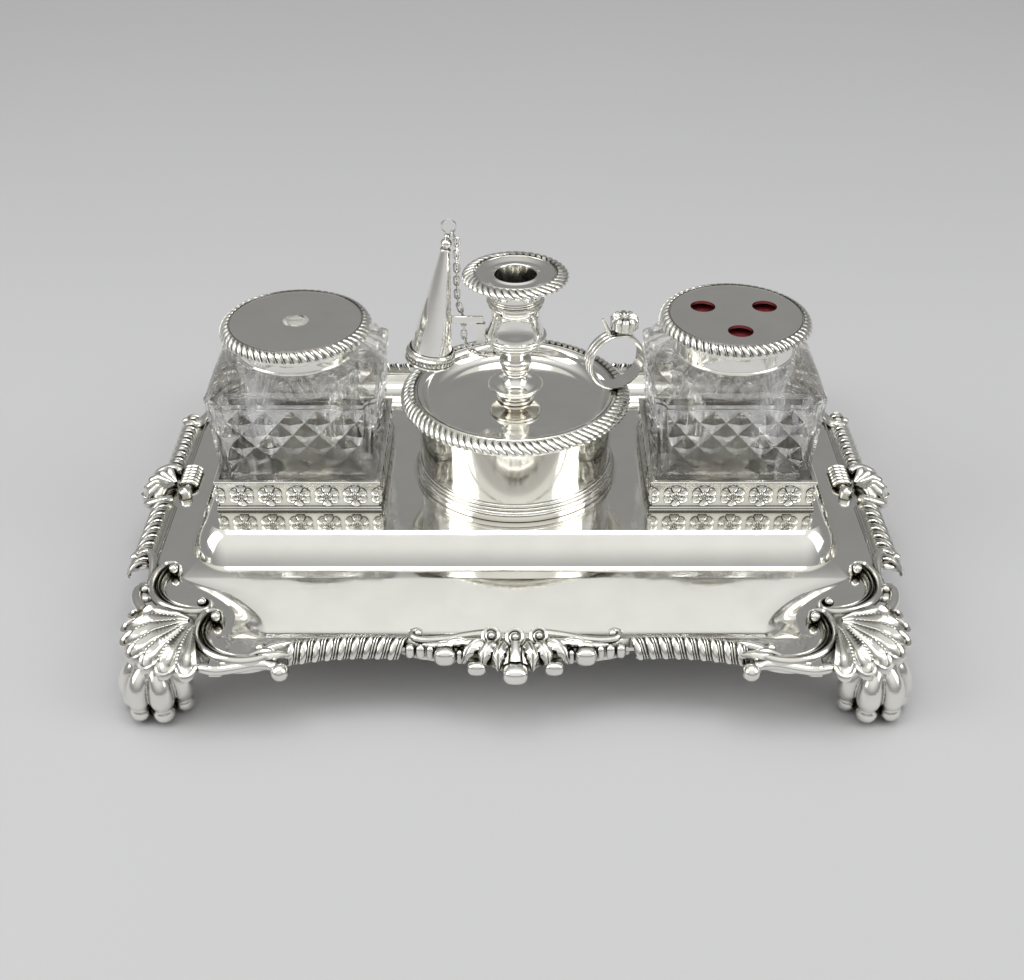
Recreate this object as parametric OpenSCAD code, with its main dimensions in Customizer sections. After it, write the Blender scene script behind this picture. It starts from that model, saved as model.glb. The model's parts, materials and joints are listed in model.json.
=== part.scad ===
// Desk inkstand: a footed tray with a raised deck and two pen troughs, two square glass
// inkwells in open galleries, and a wafer box whose lid is a chamberstick with a nozzle,
// an extinguisher on a chain and a ring handle.
// Millimetres, +Z up, -Y is the front. The origin is on the table under the tray's centre.

/* [Feet and levels] */
// Height of each paw foot up to the underside of the tray
foot_h = 27.8; // [24:0.2:32]
// Thickness of the tray's sheet
sheet = 1.6; // [1.2:0.1:2]
// Rise of the deck above the ledge
deck_rise = 11.6; // [9:0.2:14]
// Plan width of the ramp between ledge and deck
ramp_run = 9; // [7:0.5:12]
// Corner radius of the deck
deck_corner_r = 8; // [5:0.5:12]

/* [Tray plan] */
// Flat ledge between the ramp and the ridge of a pen trough
ledge_w = 7; // [5:0.5:10]
// Flat ledge between the ramp and the border on the short sides
side_ledge = 13.8; // [12:0.2:17]
// Width of each pen trough, front to back
trough_w = 38; // [34:1:42]
// Depth of each pen trough under the ledge
trough_depth = 7; // [5:0.5:9]
// How much shorter the outer edge of a trough is at each end
trough_taper = 26; // [20:1:30]
// Deck left over beside the galleries
deck_margin_x = 1.5; // [1:0.5:6]
// Deck left over in front of and behind the wafer box
deck_margin_y = 5.4; // [4:0.2:10]

/* [Border] */
// Width of the hollow moulding inside the gadroons
cove_w = 2.4; // [2:0.1:3]
// Width of the gadroon band
band_w = 6.6; // [5.6:0.2:8]
// Height of the border's crest above the ledge
crest_h = 3.6; // [3:0.1:4.6]
// Length of one gadroon lobe along the border
lobe_pitch = 4.4; // [4:0.1:6]
// How far a gadroon stands out from its band
lobe_relief = 0.7; // [0.4:0.1:1]
// Lean of the gadroons, in lobes, from the crest to the outer edge
lobe_slant = 0.8; // [0:0.1:1.2]
// Bow of the long sides between the ornaments
front_bow = 0.0045; // [0:0.0005:0.006]
// Where the long sides are narrowest, from the middle
waist_x = 56; // [50:1:60]

/* [Ornaments] */
// Radius of the fan in each corner shell
fan_r = 29; // [26:0.5:31]
// Number of lobes in a corner fan
fan_lobes = 7; // [5:1:9]
// Radius of the C-scrolls beside a corner fan, to the middle of their band
scroll_r = 17.5; // [16:0.5:19]
// Width of a C-scroll's band
scroll_w = 7; // [5:0.5:8]
// Reach of the middle ornament of the long sides past the gadroons
centre_reach = 16; // [13:0.5:18]
// Reach of the shell of the short sides past the gadroons
side_reach = 7.5; // [5:0.5:9]
// Half width of the middle ornament of the long sides
centre_half = 43; // [38:1:45]
// Half width of the shell of the short sides
side_half = 18; // [15:1:20]

/* [Inkwells] */
// Width of a glass bottle across its flat sides, where it stands in its gallery
bottle_w = 64; // [60:1:68]
// How far each side leans out from the gallery up to the shoulder
bottle_flare = 2.7; // [1:0.1:3.2]
// Height of the bottle's square body
body_h = 52; // [48:1:58]
// Height of the shoulder above the square body
shoulder_h = 6; // [4.5:0.5:8]
// Radius of the hollow cut in each upright corner
corner_cut_r = 5; // [3:0.5:6]
// Outer radius of the glass neck
neck_r = 22.3; // [21.5:0.1:23]
// Height of the glass neck above the shoulder
neck_h = 5; // [4:0.5:6]
// Radius of the bore of the neck
neck_bore_r = 17; // [16:0.25:18]
// Radius of the ink space inside the body
well_r = 24; // [20:0.5:25]
// Glass under the ink space
well_floor = 7; // [5:0.5:10]
// Width of the cut panel of pyramids
panel_w = 50; // [46:1:52]
// Height of the cut panel
panel_h = 29; // [26:1:31]
// Height of the cut panel above the bottle's foot
panel_z = 18; // [16:0.5:19]
// Pyramids across a panel
panel_count = 5; // [3:1:6]
// Depth of the panel's recess, filled by the pyramids
panel_cut = 1.6; // [1:0.1:2.2]

/* [Galleries] */
// Height of a gallery's rosette band
gallery_h = 14.3; // [12:0.1:17]
// Wall of a gallery
gallery_wall = 1; // [0.8:0.1:1.4]
// Height of its upper and lower rail
rail_h = 1.8; // [1.4:0.1:2.4]
// How far rails and rosettes stand out from the wall
rosette_relief = 0.8; // [0.5:0.1:1.2]
// Whole rosettes on each side of a gallery, between the ones cut off at its corners
rosette_count = 5; // [3:1:5]
// Distance between rosettes
rosette_pitch = 11.7; // [11:0.1:12.2]
// Clearance between a bottle and its gallery
bottle_fit = 0.4; // [0.3:0.05:0.8]

/* [Caps] */
// Radius of a cap's flat plate
plate_r = 26.7; // [25.5:0.1:28]
// Thickness of a cap's plate
plate_t = 1.2; // [1:0.1:1.6]
// Width of a cap's gadroon rim
cap_rim_w = 4.1; // [3:0.1:5]
// Height of a cap's gadroon rim
cap_rim_h = 4; // [3:0.1:4.6]
// Height from a collar up to the top of a cap's plate
cap_h = 6.6; // [6:0.1:8]
// Radius of a collar
collar_r = 25; // [24.2:0.1:26]
// Height of the left collar
left_collar_h = 6; // [5.6:0.2:8]
// Height of the right collar, which stands prouder
right_collar_h = 8.8; // [7:0.2:10]
// Wall of the sleeve under a cap that plugs the neck
plug_wall = 1.2; // [0.8:0.1:1.6]
// Clearance between a cap's sleeve and the bore of the collar
plug_fit = 0.3; // [0.2:0.05:0.5]
// Radius of the dip hole in the left cap
dip_hole_r = 5.3; // [4:0.1:7]
// Radius of each quill hole in the right cap
quill_hole_r = 5.1; // [4:0.1:6]
// Distance of the quill holes from the middle of the cap
quill_pitch_r = 14.6; // [13:0.1:16]
// Thickness of the disc that the quills stand on, inside the right cap
quill_disc_t = 1.6; // [1:0.1:2.2]

/* [Wafer box] */
// Outer radius of the box's wall
drum_r = 40.7; // [38:0.1:43]
// Height of the box, up to the seat of its lid
drum_h = 34; // [30:0.5:38]
// Wall of the box
drum_wall = 1.4; // [1:0.1:2]
// Height of the reeded moulding round the foot of the box
foot_ring_h = 7.6; // [6:0.2:10]
// How far that moulding stands out
foot_ring_w = 1.9; // [1.4:0.1:3]

/* [Chamberstick] */
// Width of the dish's gadroon rim beyond the lip
dish_rim_w = 7.3; // [5.5:0.1:9]
// Width of the curved border between the dish's flat floor and its lip
dish_cove_w = 10; // [7:0.5:13]
// Height of the dish's gadroon rim
dish_rim_h = 4.4; // [3.4:0.1:5]
// Height of the dish's lip above its seat on the box
lip_h = 4.8; // [4:0.1:6]
// Depth of the dish under its lip
dish_depth = 5.4; // [4:0.1:6.4]
// Thickness of the dish
dish_t = 1.2; // [1:0.1:1.6]
// Clearance between the locating ring and the wall of the box
lid_fit = 0.4; // [0.2:0.05:0.8]
// Height of the stem, from the dish's floor to the cup of the socket
stem_h = 21; // [18:0.5:24]
// Radius of the belly of the candle socket
belly_r = 12.9; // [12.2:0.1:14]
// Height of the candle socket
socket_h = 25; // [22:0.5:28]
// Radius of the socket's bore, which takes the nozzle
socket_bore_r = 9.2; // [8.8:0.05:9.3]
// Clearance of the nozzle's sleeve in that bore, on the radius
nozzle_fit = 0.1; // [0.05:0.01:0.2]
// Wall of the nozzle's sleeve
nozzle_wall = 0.6; // [0.5:0.05:0.8]
// Length of the nozzle's sleeve below the lip of the socket
sleeve_l = 12; // [9:0.5:16]
// Height of the nozzle's pan above the lip of the socket
pan_rise = 11.5; // [8:0.1:12]
// Outer radius of the nozzle's pan
pan_r = 21.6; // [19:0.1:22]
// Width of the pan's gadroon rim
pan_rim_w = 4; // [3:0.1:4.4]

/* [Ring handle] */
// Outer radius of the finger ring
ring_r = 12.5; // [11:0.1:14]
// Width of the ring's band
ring_w = 7; // [5:0.5:8]
// Thickness of the ring's band
ring_t = 1.1; // [0.9:0.1:1.6]
// Turn of the ring about the vertical
ring_yaw = 20; // [0:1:25]
// Radius of the flower that the thumb rests on
thumb_r = 6; // [5:0.1:7]

/* [Extinguisher] */
// Distance of the extinguisher's mouth from the stem
snuffer_x = 35.5; // [35:0.1:37]
// Height of the mouth above the dish's seat
snuffer_z = 18.4; // [16:0.1:20]
// Lean of the cone towards the stem
snuffer_lean = 9; // [6:0.5:9]
// Length of the cone
cone_l = 49.5; // [46:0.5:53]
// Radius of the cone at its foot
cone_r = 8.5; // [7.6:0.1:9]
// Radius of the moulded foot of the cone
cone_foot_r = 10.4; // [9.6:0.1:11]
// Wall of the cone
cone_wall = 0.8; // [0.6:0.1:1]
// Thickness of the hook that hangs it from the stem
hook_t = 1; // [0.8:0.1:1.2]
// Width of the leg of the hook
hook_w = 2; // [1.6:0.1:2.2]
// Clearance of the leg in its lug, all round
hook_fit = 0.15; // [0.1:0.05:0.2]
// Outer radius of the ring on its finial
eye_r = 3.2; // [2.8:0.1:3.6]

/* [Chain] */
// Radius of the wire of the chain and its ring
wire_r = 0.35; // [0.3:0.05:0.4]
// Length of a link inside
link_l = 3.9; // [3.8:0.1:4.2]
// Width of a link inside
link_w = 1.5; // [1.4:0.1:1.8]

/* [Paw feet] */
// Reach of the toes from the middle of the ankle
paw_r = 14.2; // [12.5:0.1:15]
// Turn of each paw away from straight ahead
paw_turn = 8; // [0:1:20]

/* [Hidden] */
$fn = 64;
seam = 0.05;
gap = 0.1;
ledge_z = foot_h + sheet;
deck_z = ledge_z + deck_rise;
bottle_half = bottle_w / 2;
gallery_in = bottle_half + bottle_fit;
gallery_out = gallery_in + gallery_wall;
gallery_half = gallery_out + rosette_relief;
well_gap = 7;
dish_lip_r = drum_r + 0.3;
dish_rim_r = dish_lip_r + dish_rim_w;
dish_flat_r = dish_lip_r - dish_cove_w;
well_x = dish_rim_r + well_gap + gallery_half;
drum_foot_r = drum_r + foot_ring_w;
deck_x = well_x + gallery_half + deck_margin_x;
deck_y = max(gallery_half, drum_foot_r) + deck_margin_y;
ramp_x = deck_x + ramp_run;
ramp_y = deck_y + ramp_run;
ridge_y = ramp_y + ledge_w;
trough_y = ridge_y + trough_w;
band_x = ramp_x + side_ledge;
border_x = band_x + cove_w + band_w;
border_y = trough_y + cove_w + band_w;
plate_in = 4;
band_drop = 2.4;

// Corner ornament: the middles of its two C-scrolls and the root of its fan, in one quarter
scroll_a = [border_x - 32, border_y - 41];
scroll_b = [border_x - 55, border_y - 12];
fan_root = [border_x - 35, border_y - 15];
fan_turn = 38;
fan_span = 122;
run_x0 = centre_half + 1.5;
run_x1 = scroll_b[0] - 17;
run_y0 = side_half + 1;
run_y1 = scroll_a[1] - 13;
foot_x = fan_root[0] + 12.5;
foot_y = fan_root[1] + 11;

seat_z = deck_z + drum_h;
floor_z = seat_z + lip_h - dish_depth;
stem_z = floor_z + 1.1;
cup_z = stem_z + stem_h;
lip_z = cup_z + socket_h;
pan_z = lip_z + pan_rise;
mouth_z = seat_z + snuffer_z;
ring_x = dish_lip_r + gap;
ring_z = seat_z + lip_h + 1.4 + ring_r;

// ---------------------------------------------------------------- shared shapes

function mix(a, b, t) = a + (b - a) * t;
function ease(t) = t <= 0 ? 0 : t >= 1 ? 1 : t * t * (3 - 2 * t);
function arc(cx, cy, r, a0, a1, n) =
    [for (i = [0:n]) let(a = mix(a0, a1, i / n)) [cx + r * cos(a), cy + r * sin(a)]];
function back(list) = [for (i = [len(list) - 1:-1:0]) list[i]];

// Closed solid through rings of points that all have the same count
module skin(rings, flip = false, loop = false) {
    n = len(rings[0]);
    m = len(rings);
    points = [for (ring = rings) each ring];
    last = loop ? m - 1 : m - 2;
    sides = [for (i = [0:last], j = [0:n - 1])
        let(a = i * n + j, b = i * n + (j + 1) % n, c = ((i + 1) % m) * n + j,
            d = ((i + 1) % m) * n + (j + 1) % n)
        each (flip ? [[a, d, c], [a, b, d]] : [[a, c, d], [a, d, b]])];
    low = [for (j = [0:n - 1]) j];
    high = [for (j = [n - 1:-1:0]) (m - 1) * n + j];
    caps = loop ? [] : flip ? [back(low), back(high)] : [low, high];
    polyhedron(points = points, faces = concat(sides, caps), convexity = 10);
}

// The four quarters of the tray, or its two ends
module quarter(sx, sy) mirror([sx < 0 ? 1 : 0, 0, 0]) mirror([0, sy < 0 ? 1 : 0, 0]) children();

// ---------------------------------------------------------------- tray sheet

corner_steps = 5;
function deck_ring(grow, z) = let(r = deck_corner_r + max(grow, 0.5 - deck_corner_r))
    [for (q = [0:3], i = [0:corner_steps])
        let(a = 90 * (q + i / corner_steps), sx = q == 0 || q == 3 ? 1 : -1, sy = q < 2 ? 1 : -1)
        [sx * (deck_x - deck_corner_r) + r * cos(a), sy * (deck_y - deck_corner_r) + r * sin(a), z]];

ramp_steps = 5;
// Height of the ramp's cushion over the ledge at a share of its run, from its foot
function ramp_up(t) = deck_rise * (1 - 0.35 * (1 - t) - 0.65 * pow(1 - t, 2));
module deck_shell() {
    outer = [for (i = [0:ramp_steps]) let(t = i / ramp_steps)
        deck_ring(ramp_run * (1 - t), ledge_z + ramp_up(t))];
    inner = [for (i = [0:ramp_steps]) let(t = i / ramp_steps)
        deck_ring(ramp_run * (1 - t) - sheet, ledge_z + ramp_up(t) - sheet)];
    skirt = [deck_ring(ramp_run, ledge_z - sheet)];
    skin(concat(back(inner), skirt, outer));
}

// Shares of a trough's width, from its ridge to its outer edge, and of its end walls
trough_rows = [0, 0.12, 0.25, 0.5, 0.86, 0.91, 0.96, 0.985, 1];
wall_rows = [0, 0.35, 0.65, 0.85, 1];
slope_share = 0.86;
end_w = 11.5;
function rim_x(f) = ramp_x - trough_taper * ease(1.3 * pow(f, 0.75));
function sunk(f) = max(seam, trough_depth * (f < slope_share ? pow(f / slope_share, 1.06)
    : sqrt(max(0, 1 - pow((f - slope_share) / (1 - slope_share), 2.4)))));
// Right half of one row across a trough, from its middle out to its rim, or its underside
function half_row(f, grow, drop) = let(
        outer = rim_x(f),
        inner = outer - mix(1.2, end_w, ease(f / 0.25)),
        y = mix(ridge_y, trough_y, f) + grow * (2 * f - 1))
    [for (q = wall_rows) [mix(inner, outer, q) + grow * q, -y,
        ledge_z - drop - sunk(f) * (1 - q * (0.35 + 0.65 * q))]];
function across(half) = concat([for (p = back(half)) [-p[0], p[1], p[2]]], half);

module trough() skin([for (f = trough_rows)
    concat(across(half_row(f, 0, 0)), back(across(half_row(f, 0.8, sheet))))], flip = true);

function front_edge(x) = border_y + front_bow * pow(max(abs(x), centre_half) - waist_x, 2);
plate_scroll_r = scroll_r - 2;
scroll_a_start = -26;
scroll_a_end = 96;
scroll_b_start = -10;
scroll_b_end = 118;
plate_quarter = concat(
    [for (x = [0:4:run_x1]) [x, front_edge(x) - plate_in]],
    arc(scroll_b[0], scroll_b[1], plate_scroll_r, scroll_b_end + 2, scroll_b_start - 2, 8),
    [fan_root - [0.8, 2.2]],
    arc(scroll_a[0], scroll_a[1], plate_scroll_r, scroll_a_end + 2, scroll_a_start - 2, 8),
    [[border_x - plate_in, run_y1], [border_x - plate_in, 0]]);

module plate_outline() polygon(concat(
    plate_quarter,
    back([for (p = plate_quarter) if (p[1] > 0) [p[0], -p[1]]]),
    [for (p = plate_quarter) if (p[0] > 0) [-p[0], -p[1]]],
    back([for (p = plate_quarter) if (p[1] > 0 && p[0] > 0) [-p[0], p[1]]])));

module trough_opening() polygon(concat(
    [for (f = trough_rows) [rim_x(f) - seam, seam * (2 * f - 1) - mix(ridge_y, trough_y, f)]],
    back([for (f = trough_rows) [seam - rim_x(f), seam * (2 * f - 1) - mix(ridge_y, trough_y, f)]])));

module tray_plate() color("gainsboro") {
    translate([0, 0, ledge_z - sheet]) linear_extrude(sheet) difference() {
        plate_outline();
        polygon([for (p = deck_ring(ramp_run - sheet / 2, 0)) [p[0], p[1]]]);
        trough_opening();
        mirror([0, 1, 0]) trough_opening();
    }
    deck_shell();
    trough();
    mirror([0, 1, 0]) trough();
}

// ---------------------------------------------------------------- gadroon border

function lobe(phase) = 0.5 + 0.5 * cos(360 * phase);
lobe_samples = 3;

// Section of the border at one place: p is the outward distance and the height
function band_section(phase) = let(
    fr = [0.3, 0.65, 0.92, 1], hz = [crest_h, crest_h - 1.5, -0.6, -band_drop],
    nx = [0.1, 0.6, 0.9, 0.6], nz = [1, 0.8, 0.3, -0.2])
    concat([[0, gap / 2], [cove_w * 0.7, crest_h * 0.3], [cove_w, crest_h]],
    [for (k = [0:3]) let(b = lobe_relief * (lobe(phase - lobe_slant * fr[k]) - 0.5))
        [cove_w + band_w * fr[k] + nx[k] * b, hz[k] + nz[k] * b]],
    [[cove_w + band_w * 0.8, -band_drop - 0.6], [cove_w + band_w - plate_in + gap, -sheet - gap],
        [cove_w + band_w - plate_in + gap, gap / 2]]);

// A run of gadroons: place(t) gives the border's inner edge at t from 0 to 1
module front_run_of_gadroons() {
    count = floor((run_x1 - run_x0) / lobe_pitch);
    stations = count * lobe_samples;
    skin([for (i = [0:stations]) let(x = mix(run_x0, run_x1, i / stations),
            y = front_edge(x) - cove_w - band_w)
        [for (p = band_section(i / lobe_samples)) [x, y + p[0], ledge_z + p[1]]]], flip = true);
}

module side_run_of_gadroons() {
    count = floor((run_y1 - run_y0) / lobe_pitch);
    stations = count * lobe_samples;
    skin([for (i = [0:stations]) let(y = mix(run_y0, run_y1, i / stations))
        [for (p = band_section(i / lobe_samples)) [band_x + p[0], y, ledge_z + p[1]]]]);
}

module gadroon_front() color("silver") for (sx = [-1, 1]) quarter(sx, -1) front_run_of_gadroons();
module gadroon_rear() color("silver") for (sx = [-1, 1]) quarter(sx, 1) front_run_of_gadroons();
module gadroon_left() color("silver") for (sy = [-1, 1]) quarter(-1, sy) side_run_of_gadroons();
module gadroon_right() color("silver") for (sy = [-1, 1]) quarter(1, sy) side_run_of_gadroons();

// Ring of gadroons round a plate, from radius r0 to r1, with its top at z and height h
module gadroon_ring(r0, r1, z, h, lobes, relief, slant) {
    w = r1 - r0;
    stations = lobes * 2;
    skin([for (i = [0:stations - 1]) let(a = 360 * i / stations)
        [for (p = concat([[r0, z - h * 0.75], [r0, z - h * 0.08]],
            [for (k = [0:2]) let(fr = [0.35, 0.8, 1], hz = [0, 0.3, 0.75],
                b = relief * (lobe(i / 2 - 0.5 * (k % 2) * slant) - 0.5))
                [r0 + w * fr[k] - relief / 2 + b * [0.2, 0.8, 1][k], z - h * hz[k] + b * [0.8, 0.6, 0][k]]],
            [[r0 + w * 0.75, z - h]]))
            [p[0] * cos(a), p[0] * sin(a), p[1]]]], loop = true);
}

// ---------------------------------------------------------------- shells and scrolls

// Fan of hollow lobes about the origin, opening along +X; levels are [share of radius, top, bottom]
module fan(radius, lobes, span, samples, levels, flute) {
    stations = lobes * samples;
    skin([for (i = [0:stations]) let(
            a = mix(-span / 2, span / 2, i / stations),
            u = 2 * (i / samples - floor(i / samples)) - 1,
            edge = 1 - 0.1 * u * u,
            rib = u * u)
        concat([for (p = levels) let(r = radius * p[0] * mix(1, edge, p[0]))
            [r * cos(a), r * sin(a), p[1] - flute * p[0] * (1 - rib)]],
        back([for (p = levels) let(r = radius * p[0] * mix(1, edge, p[0])) [r * cos(a), r * sin(a), p[2]]]))]);
}

ball_r = 2.6;
module ball(x, y, up, r = ball_r) translate([x, y, ledge_z + up]) sphere(r = r);

// C-scroll: a domed band round c from angle a0 to a1, with a ball at each end
module scroll(c, a0, a1, r = scroll_r, w = scroll_w, top = 3.6) {
    step = plate_scroll_r - scroll_r + gap;
    translate([c[0], c[1], ledge_z]) rotate(a0) rotate_extrude(angle = a1 - a0) translate([r, 0]) polygon([
        [-w / 2, gap / 2], [-w / 2, top * 0.45], [-w * 0.32, top * 0.8], [-w * 0.24, top * 0.6],
        [-w * 0.12, top * 0.95], [0, top * 0.8], [w * 0.16, top * 1.05], [w * 0.34, top * 0.85],
        [w / 2, top * 0.3], [w / 2, -sheet], [step, -sheet], [step, gap / 2]]);
    eye_r = w * 0.4;
    inset = r - w * 0.15;
    turn = asin((eye_r + gap) / inset);
    for (end = [a0 - turn, a1 + turn])
        ball(c[0] + inset * cos(end), c[1] + inset * sin(end), eye_r + gap / 2, eye_r);
}

fan_back = 5.6;
module corner_shell() {
    top = ledge_z + 5;
    translate([fan_root[0], fan_root[1], 0]) rotate(fan_turn)
        fan(fan_r, fan_lobes - 1, fan_span, 3,
            [[0.12, top - 0.4, foot_h + gap], [0.45, top + 1, foot_h + gap], [0.75, top - 0.6, foot_h + gap],
             [0.9, top - 3, foot_h + gap], [1, foot_h + 0.6, foot_h - 2.6]], 1.6);
    scroll(scroll_a, scroll_a_start, scroll_a_end);
    scroll(scroll_b, scroll_b_start, scroll_b_end);
    scroll([scroll_a[0] + 23.5, scroll_a[1] - 5.5], -50, 100, fan_back, 4.4, 3);
    ball(scroll_a[0] + 23.2, scroll_a[1] + 8.2, 1.4, 3.4);
    ball(run_x1 + 2.6, front_edge(run_x1) + 1, 0, 2.8);
}

// Ornament at the middle of a long side, drawn on the +Y side: leaves that lean outwards
// from a bulging lobe, with three rosettes and a curl at each end
centre_lobes = 11;
leaf_lean = 42;
module centre_shell() {
    edge = border_y - plate_in + front_bow * pow(centre_half - waist_x, 2) + gap;
    root = edge - 4;
    top = ledge_z + 4.6;
    half = centre_half - 9;
    stations = centre_lobes * 3;
    skin([for (i = [0:stations]) let(
            t = 2 * i / stations - 1, x = half * t,
            a = leaf_lean * sin(90 * t),
            u = 2 * (i / 3 - floor(i / 3)) - 1,
            middle = exp(-pow(x / 9, 2)),
            side = exp(-pow((abs(x) - half * 0.66) / 4, 2)),
            reach = (9.5 + (centre_reach - 1.6) * middle + 3 * side) * (1 - 0.08 * u * u),
            flute = 1.3 * (1 - u * u),
            step = (edge - root) / cos(a),
            points = [[0, ledge_z + gap], [0.14, top - 1.4 - flute * 0.3], [0.4, top - flute * 0.6],
                [0.78, top - 1.8 - middle - flute], [1, ledge_z - 1.2 - middle - flute * 0.6]])
        concat([for (p = points) [x + reach * p[0] * sin(a), root + reach * p[0] * cos(a), p[1]]],
            [[x + reach * sin(a), root + reach * cos(a), foot_h - 3.4],
             [x + (step + 1) * sin(a), root + (step + 1) * cos(a), foot_h - gap],
             [x + step * sin(a), root + step * cos(a), foot_h - gap],
             [x + step * sin(a), root + step * cos(a), ledge_z + gap]])], flip = true);
    ball(0, root + 4.6, 4.4, 3.9);
    for (sx = [-1, 1]) {
        ball(sx * 9, root + 4.2, 4, 3.8);
        ball(sx * (half - 1), root + 2.6, 3.4, 2.4);
    }
}

reeds = 6;
reed_pitch = 2.4;
reeds_y = -6.2;
// Shell at the middle of a short side, drawn on the +X side, with a bundle of reeds behind it
module side_shell() {
    top = ledge_z + 4.2;
    root = border_x - plate_in - 5;
    translate([root, 0, 0])
        fan(border_x + side_reach - root, 6, 128, 3,
            [[0.2, top, ledge_z + gap], [0.55, top + 0.8, ledge_z + gap], [0.74, top - 0.6, ledge_z + gap],
             [0.84, top - 2, foot_h - 1], [1, top - 5, foot_h - 3]], 1.2);
    skin([for (i = [0:2 * reeds]) let(y = reeds_y + reed_pitch * i / 2, r = i % 2 == 0 ? 1.7 : 2.3)
        [for (a = [180:-36:0]) [root - 2.4 + 3.2 * cos(a), y, ledge_z + gap + r * sin(a)]]]);
    ball(root - 2.6, reeds_y - 3, 2.6, 2.5);
}

module corner_shell_front_left() color("silver") quarter(-1, -1) corner_shell();
module corner_shell_front_right() color("silver") quarter(1, -1) corner_shell();
module corner_shell_rear_left() color("silver") quarter(-1, 1) corner_shell();
module corner_shell_rear_right() color("silver") quarter(1, 1) corner_shell();
module centre_shell_front() color("silver") quarter(1, -1) centre_shell();
module centre_shell_rear() color("silver") quarter(1, 1) centre_shell();
module side_shell_left() color("silver") quarter(-1, 1) side_shell();
module side_shell_right() color("silver") quarter(1, 1) side_shell();

// ---------------------------------------------------------------- paw feet

toe_step = 44;
toe_angles = concat([for (k = [-8:8]) k * toe_step / 4], [for (k = [1:7]) 2 * toe_step + k * 23]);
// How far forwards a direction points, from 1 at the toes to 0 at the heel
function forward(a) = pow(max(0, cos(a * 0.52)), 1.3);
function toe_bulge(a, deep) = abs(a) > 2 * toe_step ? 1 - deep : 1 - deep * pow(1 - abs(cos((a - toe_step / 2) * 180 / toe_step)), 1.6);
// Levels of a paw: [share of its height, radius at the toes, radius at the heel, depth between toes]
paw_levels = [[0, 0.86, 0.5, 0.2], [0.07, 0.98, 0.58, 0.22], [0.17, 1, 0.6, 0.24], [0.26, 0.9, 0.56, 0.2],
    [0.36, 0.94, 0.56, 0.22], [0.5, 0.84, 0.54, 0.18], [0.66, 0.6, 0.5, 0.08], [0.84, 0.5, 0.47, 0.02],
    [1, 0.56, 0.54, 0]];
module paw_foot() translate([foot_x, foot_y, 0]) rotate(90 - paw_turn)
    skin([for (level = paw_levels) [for (a = toe_angles)
        let(r = paw_r * mix(level[2], level[1], forward(a > 180 ? a - 360 : a)) * toe_bulge(a, level[3]))
        [r * cos(a), r * sin(a), level[0] * foot_h]]]);

module paw_foot_front_left() color("silver") quarter(-1, -1) paw_foot();
module paw_foot_front_right() color("silver") quarter(1, -1) paw_foot();
module paw_foot_rear_left() color("silver") quarter(-1, 1) paw_foot();
module paw_foot_rear_right() color("silver") quarter(1, 1) paw_foot();

// ---------------------------------------------------------------- galleries

module square_ring(outer, inner, z, h)
    translate([0, 0, z]) linear_extrude(h) difference() {
        square(2 * outer, center = true);
        square(2 * inner, center = true);
    }

petals = 5;
module rosette(r) {
    linear_extrude(rosette_relief + seam * 4)
        for (k = [0:petals - 1]) rotate(90 + 360 * k / petals) translate([r * 0.58, 0]) circle(r = r * 0.42);
    cylinder(h = rosette_relief + 0.3, r = r * 0.3);
}

rosette_r = min(rosette_pitch, gallery_h - 2 * rail_h) / 2 - 0.3;
// Stands a rosette on the front wall at a distance from its middle
module on_wall(x) translate([x, -gallery_out + seam * 4, deck_z + gallery_h / 2]) rotate([90, 0, 0]) children();

module gallery() {
    square_ring(gallery_out, gallery_in, deck_z, gallery_h);
    for (z = [deck_z, deck_z + gallery_h - rail_h]) square_ring(gallery_half, gallery_in + gallery_wall / 2, z, rail_h);
    last = rosette_pitch * (rosette_count + 1) / 2;
    cut = last - gallery_out + 0.3;
    for (side = [0:3]) rotate(90 * side) {
        for (k = [0:rosette_count - 1]) on_wall((k + 1) * rosette_pitch - last) rosette(rosette_r);
        for (sx = [0, 1]) mirror([sx, 0, 0]) on_wall(last) intersection() {
            rosette(rosette_r);
            translate([-rosette_r - cut - 1, -rosette_r - 1, -1]) cube([rosette_r + 1, 2 * rosette_r + 2, 4]);
        }
    }
}

module left_gallery() color("silver") translate([-well_x, 0, 0]) gallery();
module right_gallery() color("silver") translate([well_x, 0, 0]) gallery();

// ---------------------------------------------------------------- inkwells

shoulder_z = deck_z + body_h;
glass_neck_z = shoulder_z + shoulder_h;

flare_z = deck_z + gallery_h + 0.2;
shoulder_half = bottle_half + bottle_flare;
panel_mid_z = deck_z + panel_z + panel_h / 2;
flare_slope = bottle_flare / (shoulder_z - flare_z);
// Square outline with a hollow cut in each corner
function bottle_ring(half, z) = [for (q = [0:3]) let(sx = q == 0 || q == 3 ? 1 : -1, sy = q < 2 ? 1 : -1)
    each [for (p = arc(sx * half, sy * half, corner_cut_r, 270 + 90 * q, 180 + 90 * q, 6)) [p[0], p[1], z]]];
// Lies on the leaning face of one side, with +Z outwards
module on_side(side) rotate(90 * side) translate([0, -bottle_half - flare_slope * (panel_mid_z - flare_z), panel_mid_z])
    rotate([90 + atan(flare_slope), 0, 0]) children();

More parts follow.
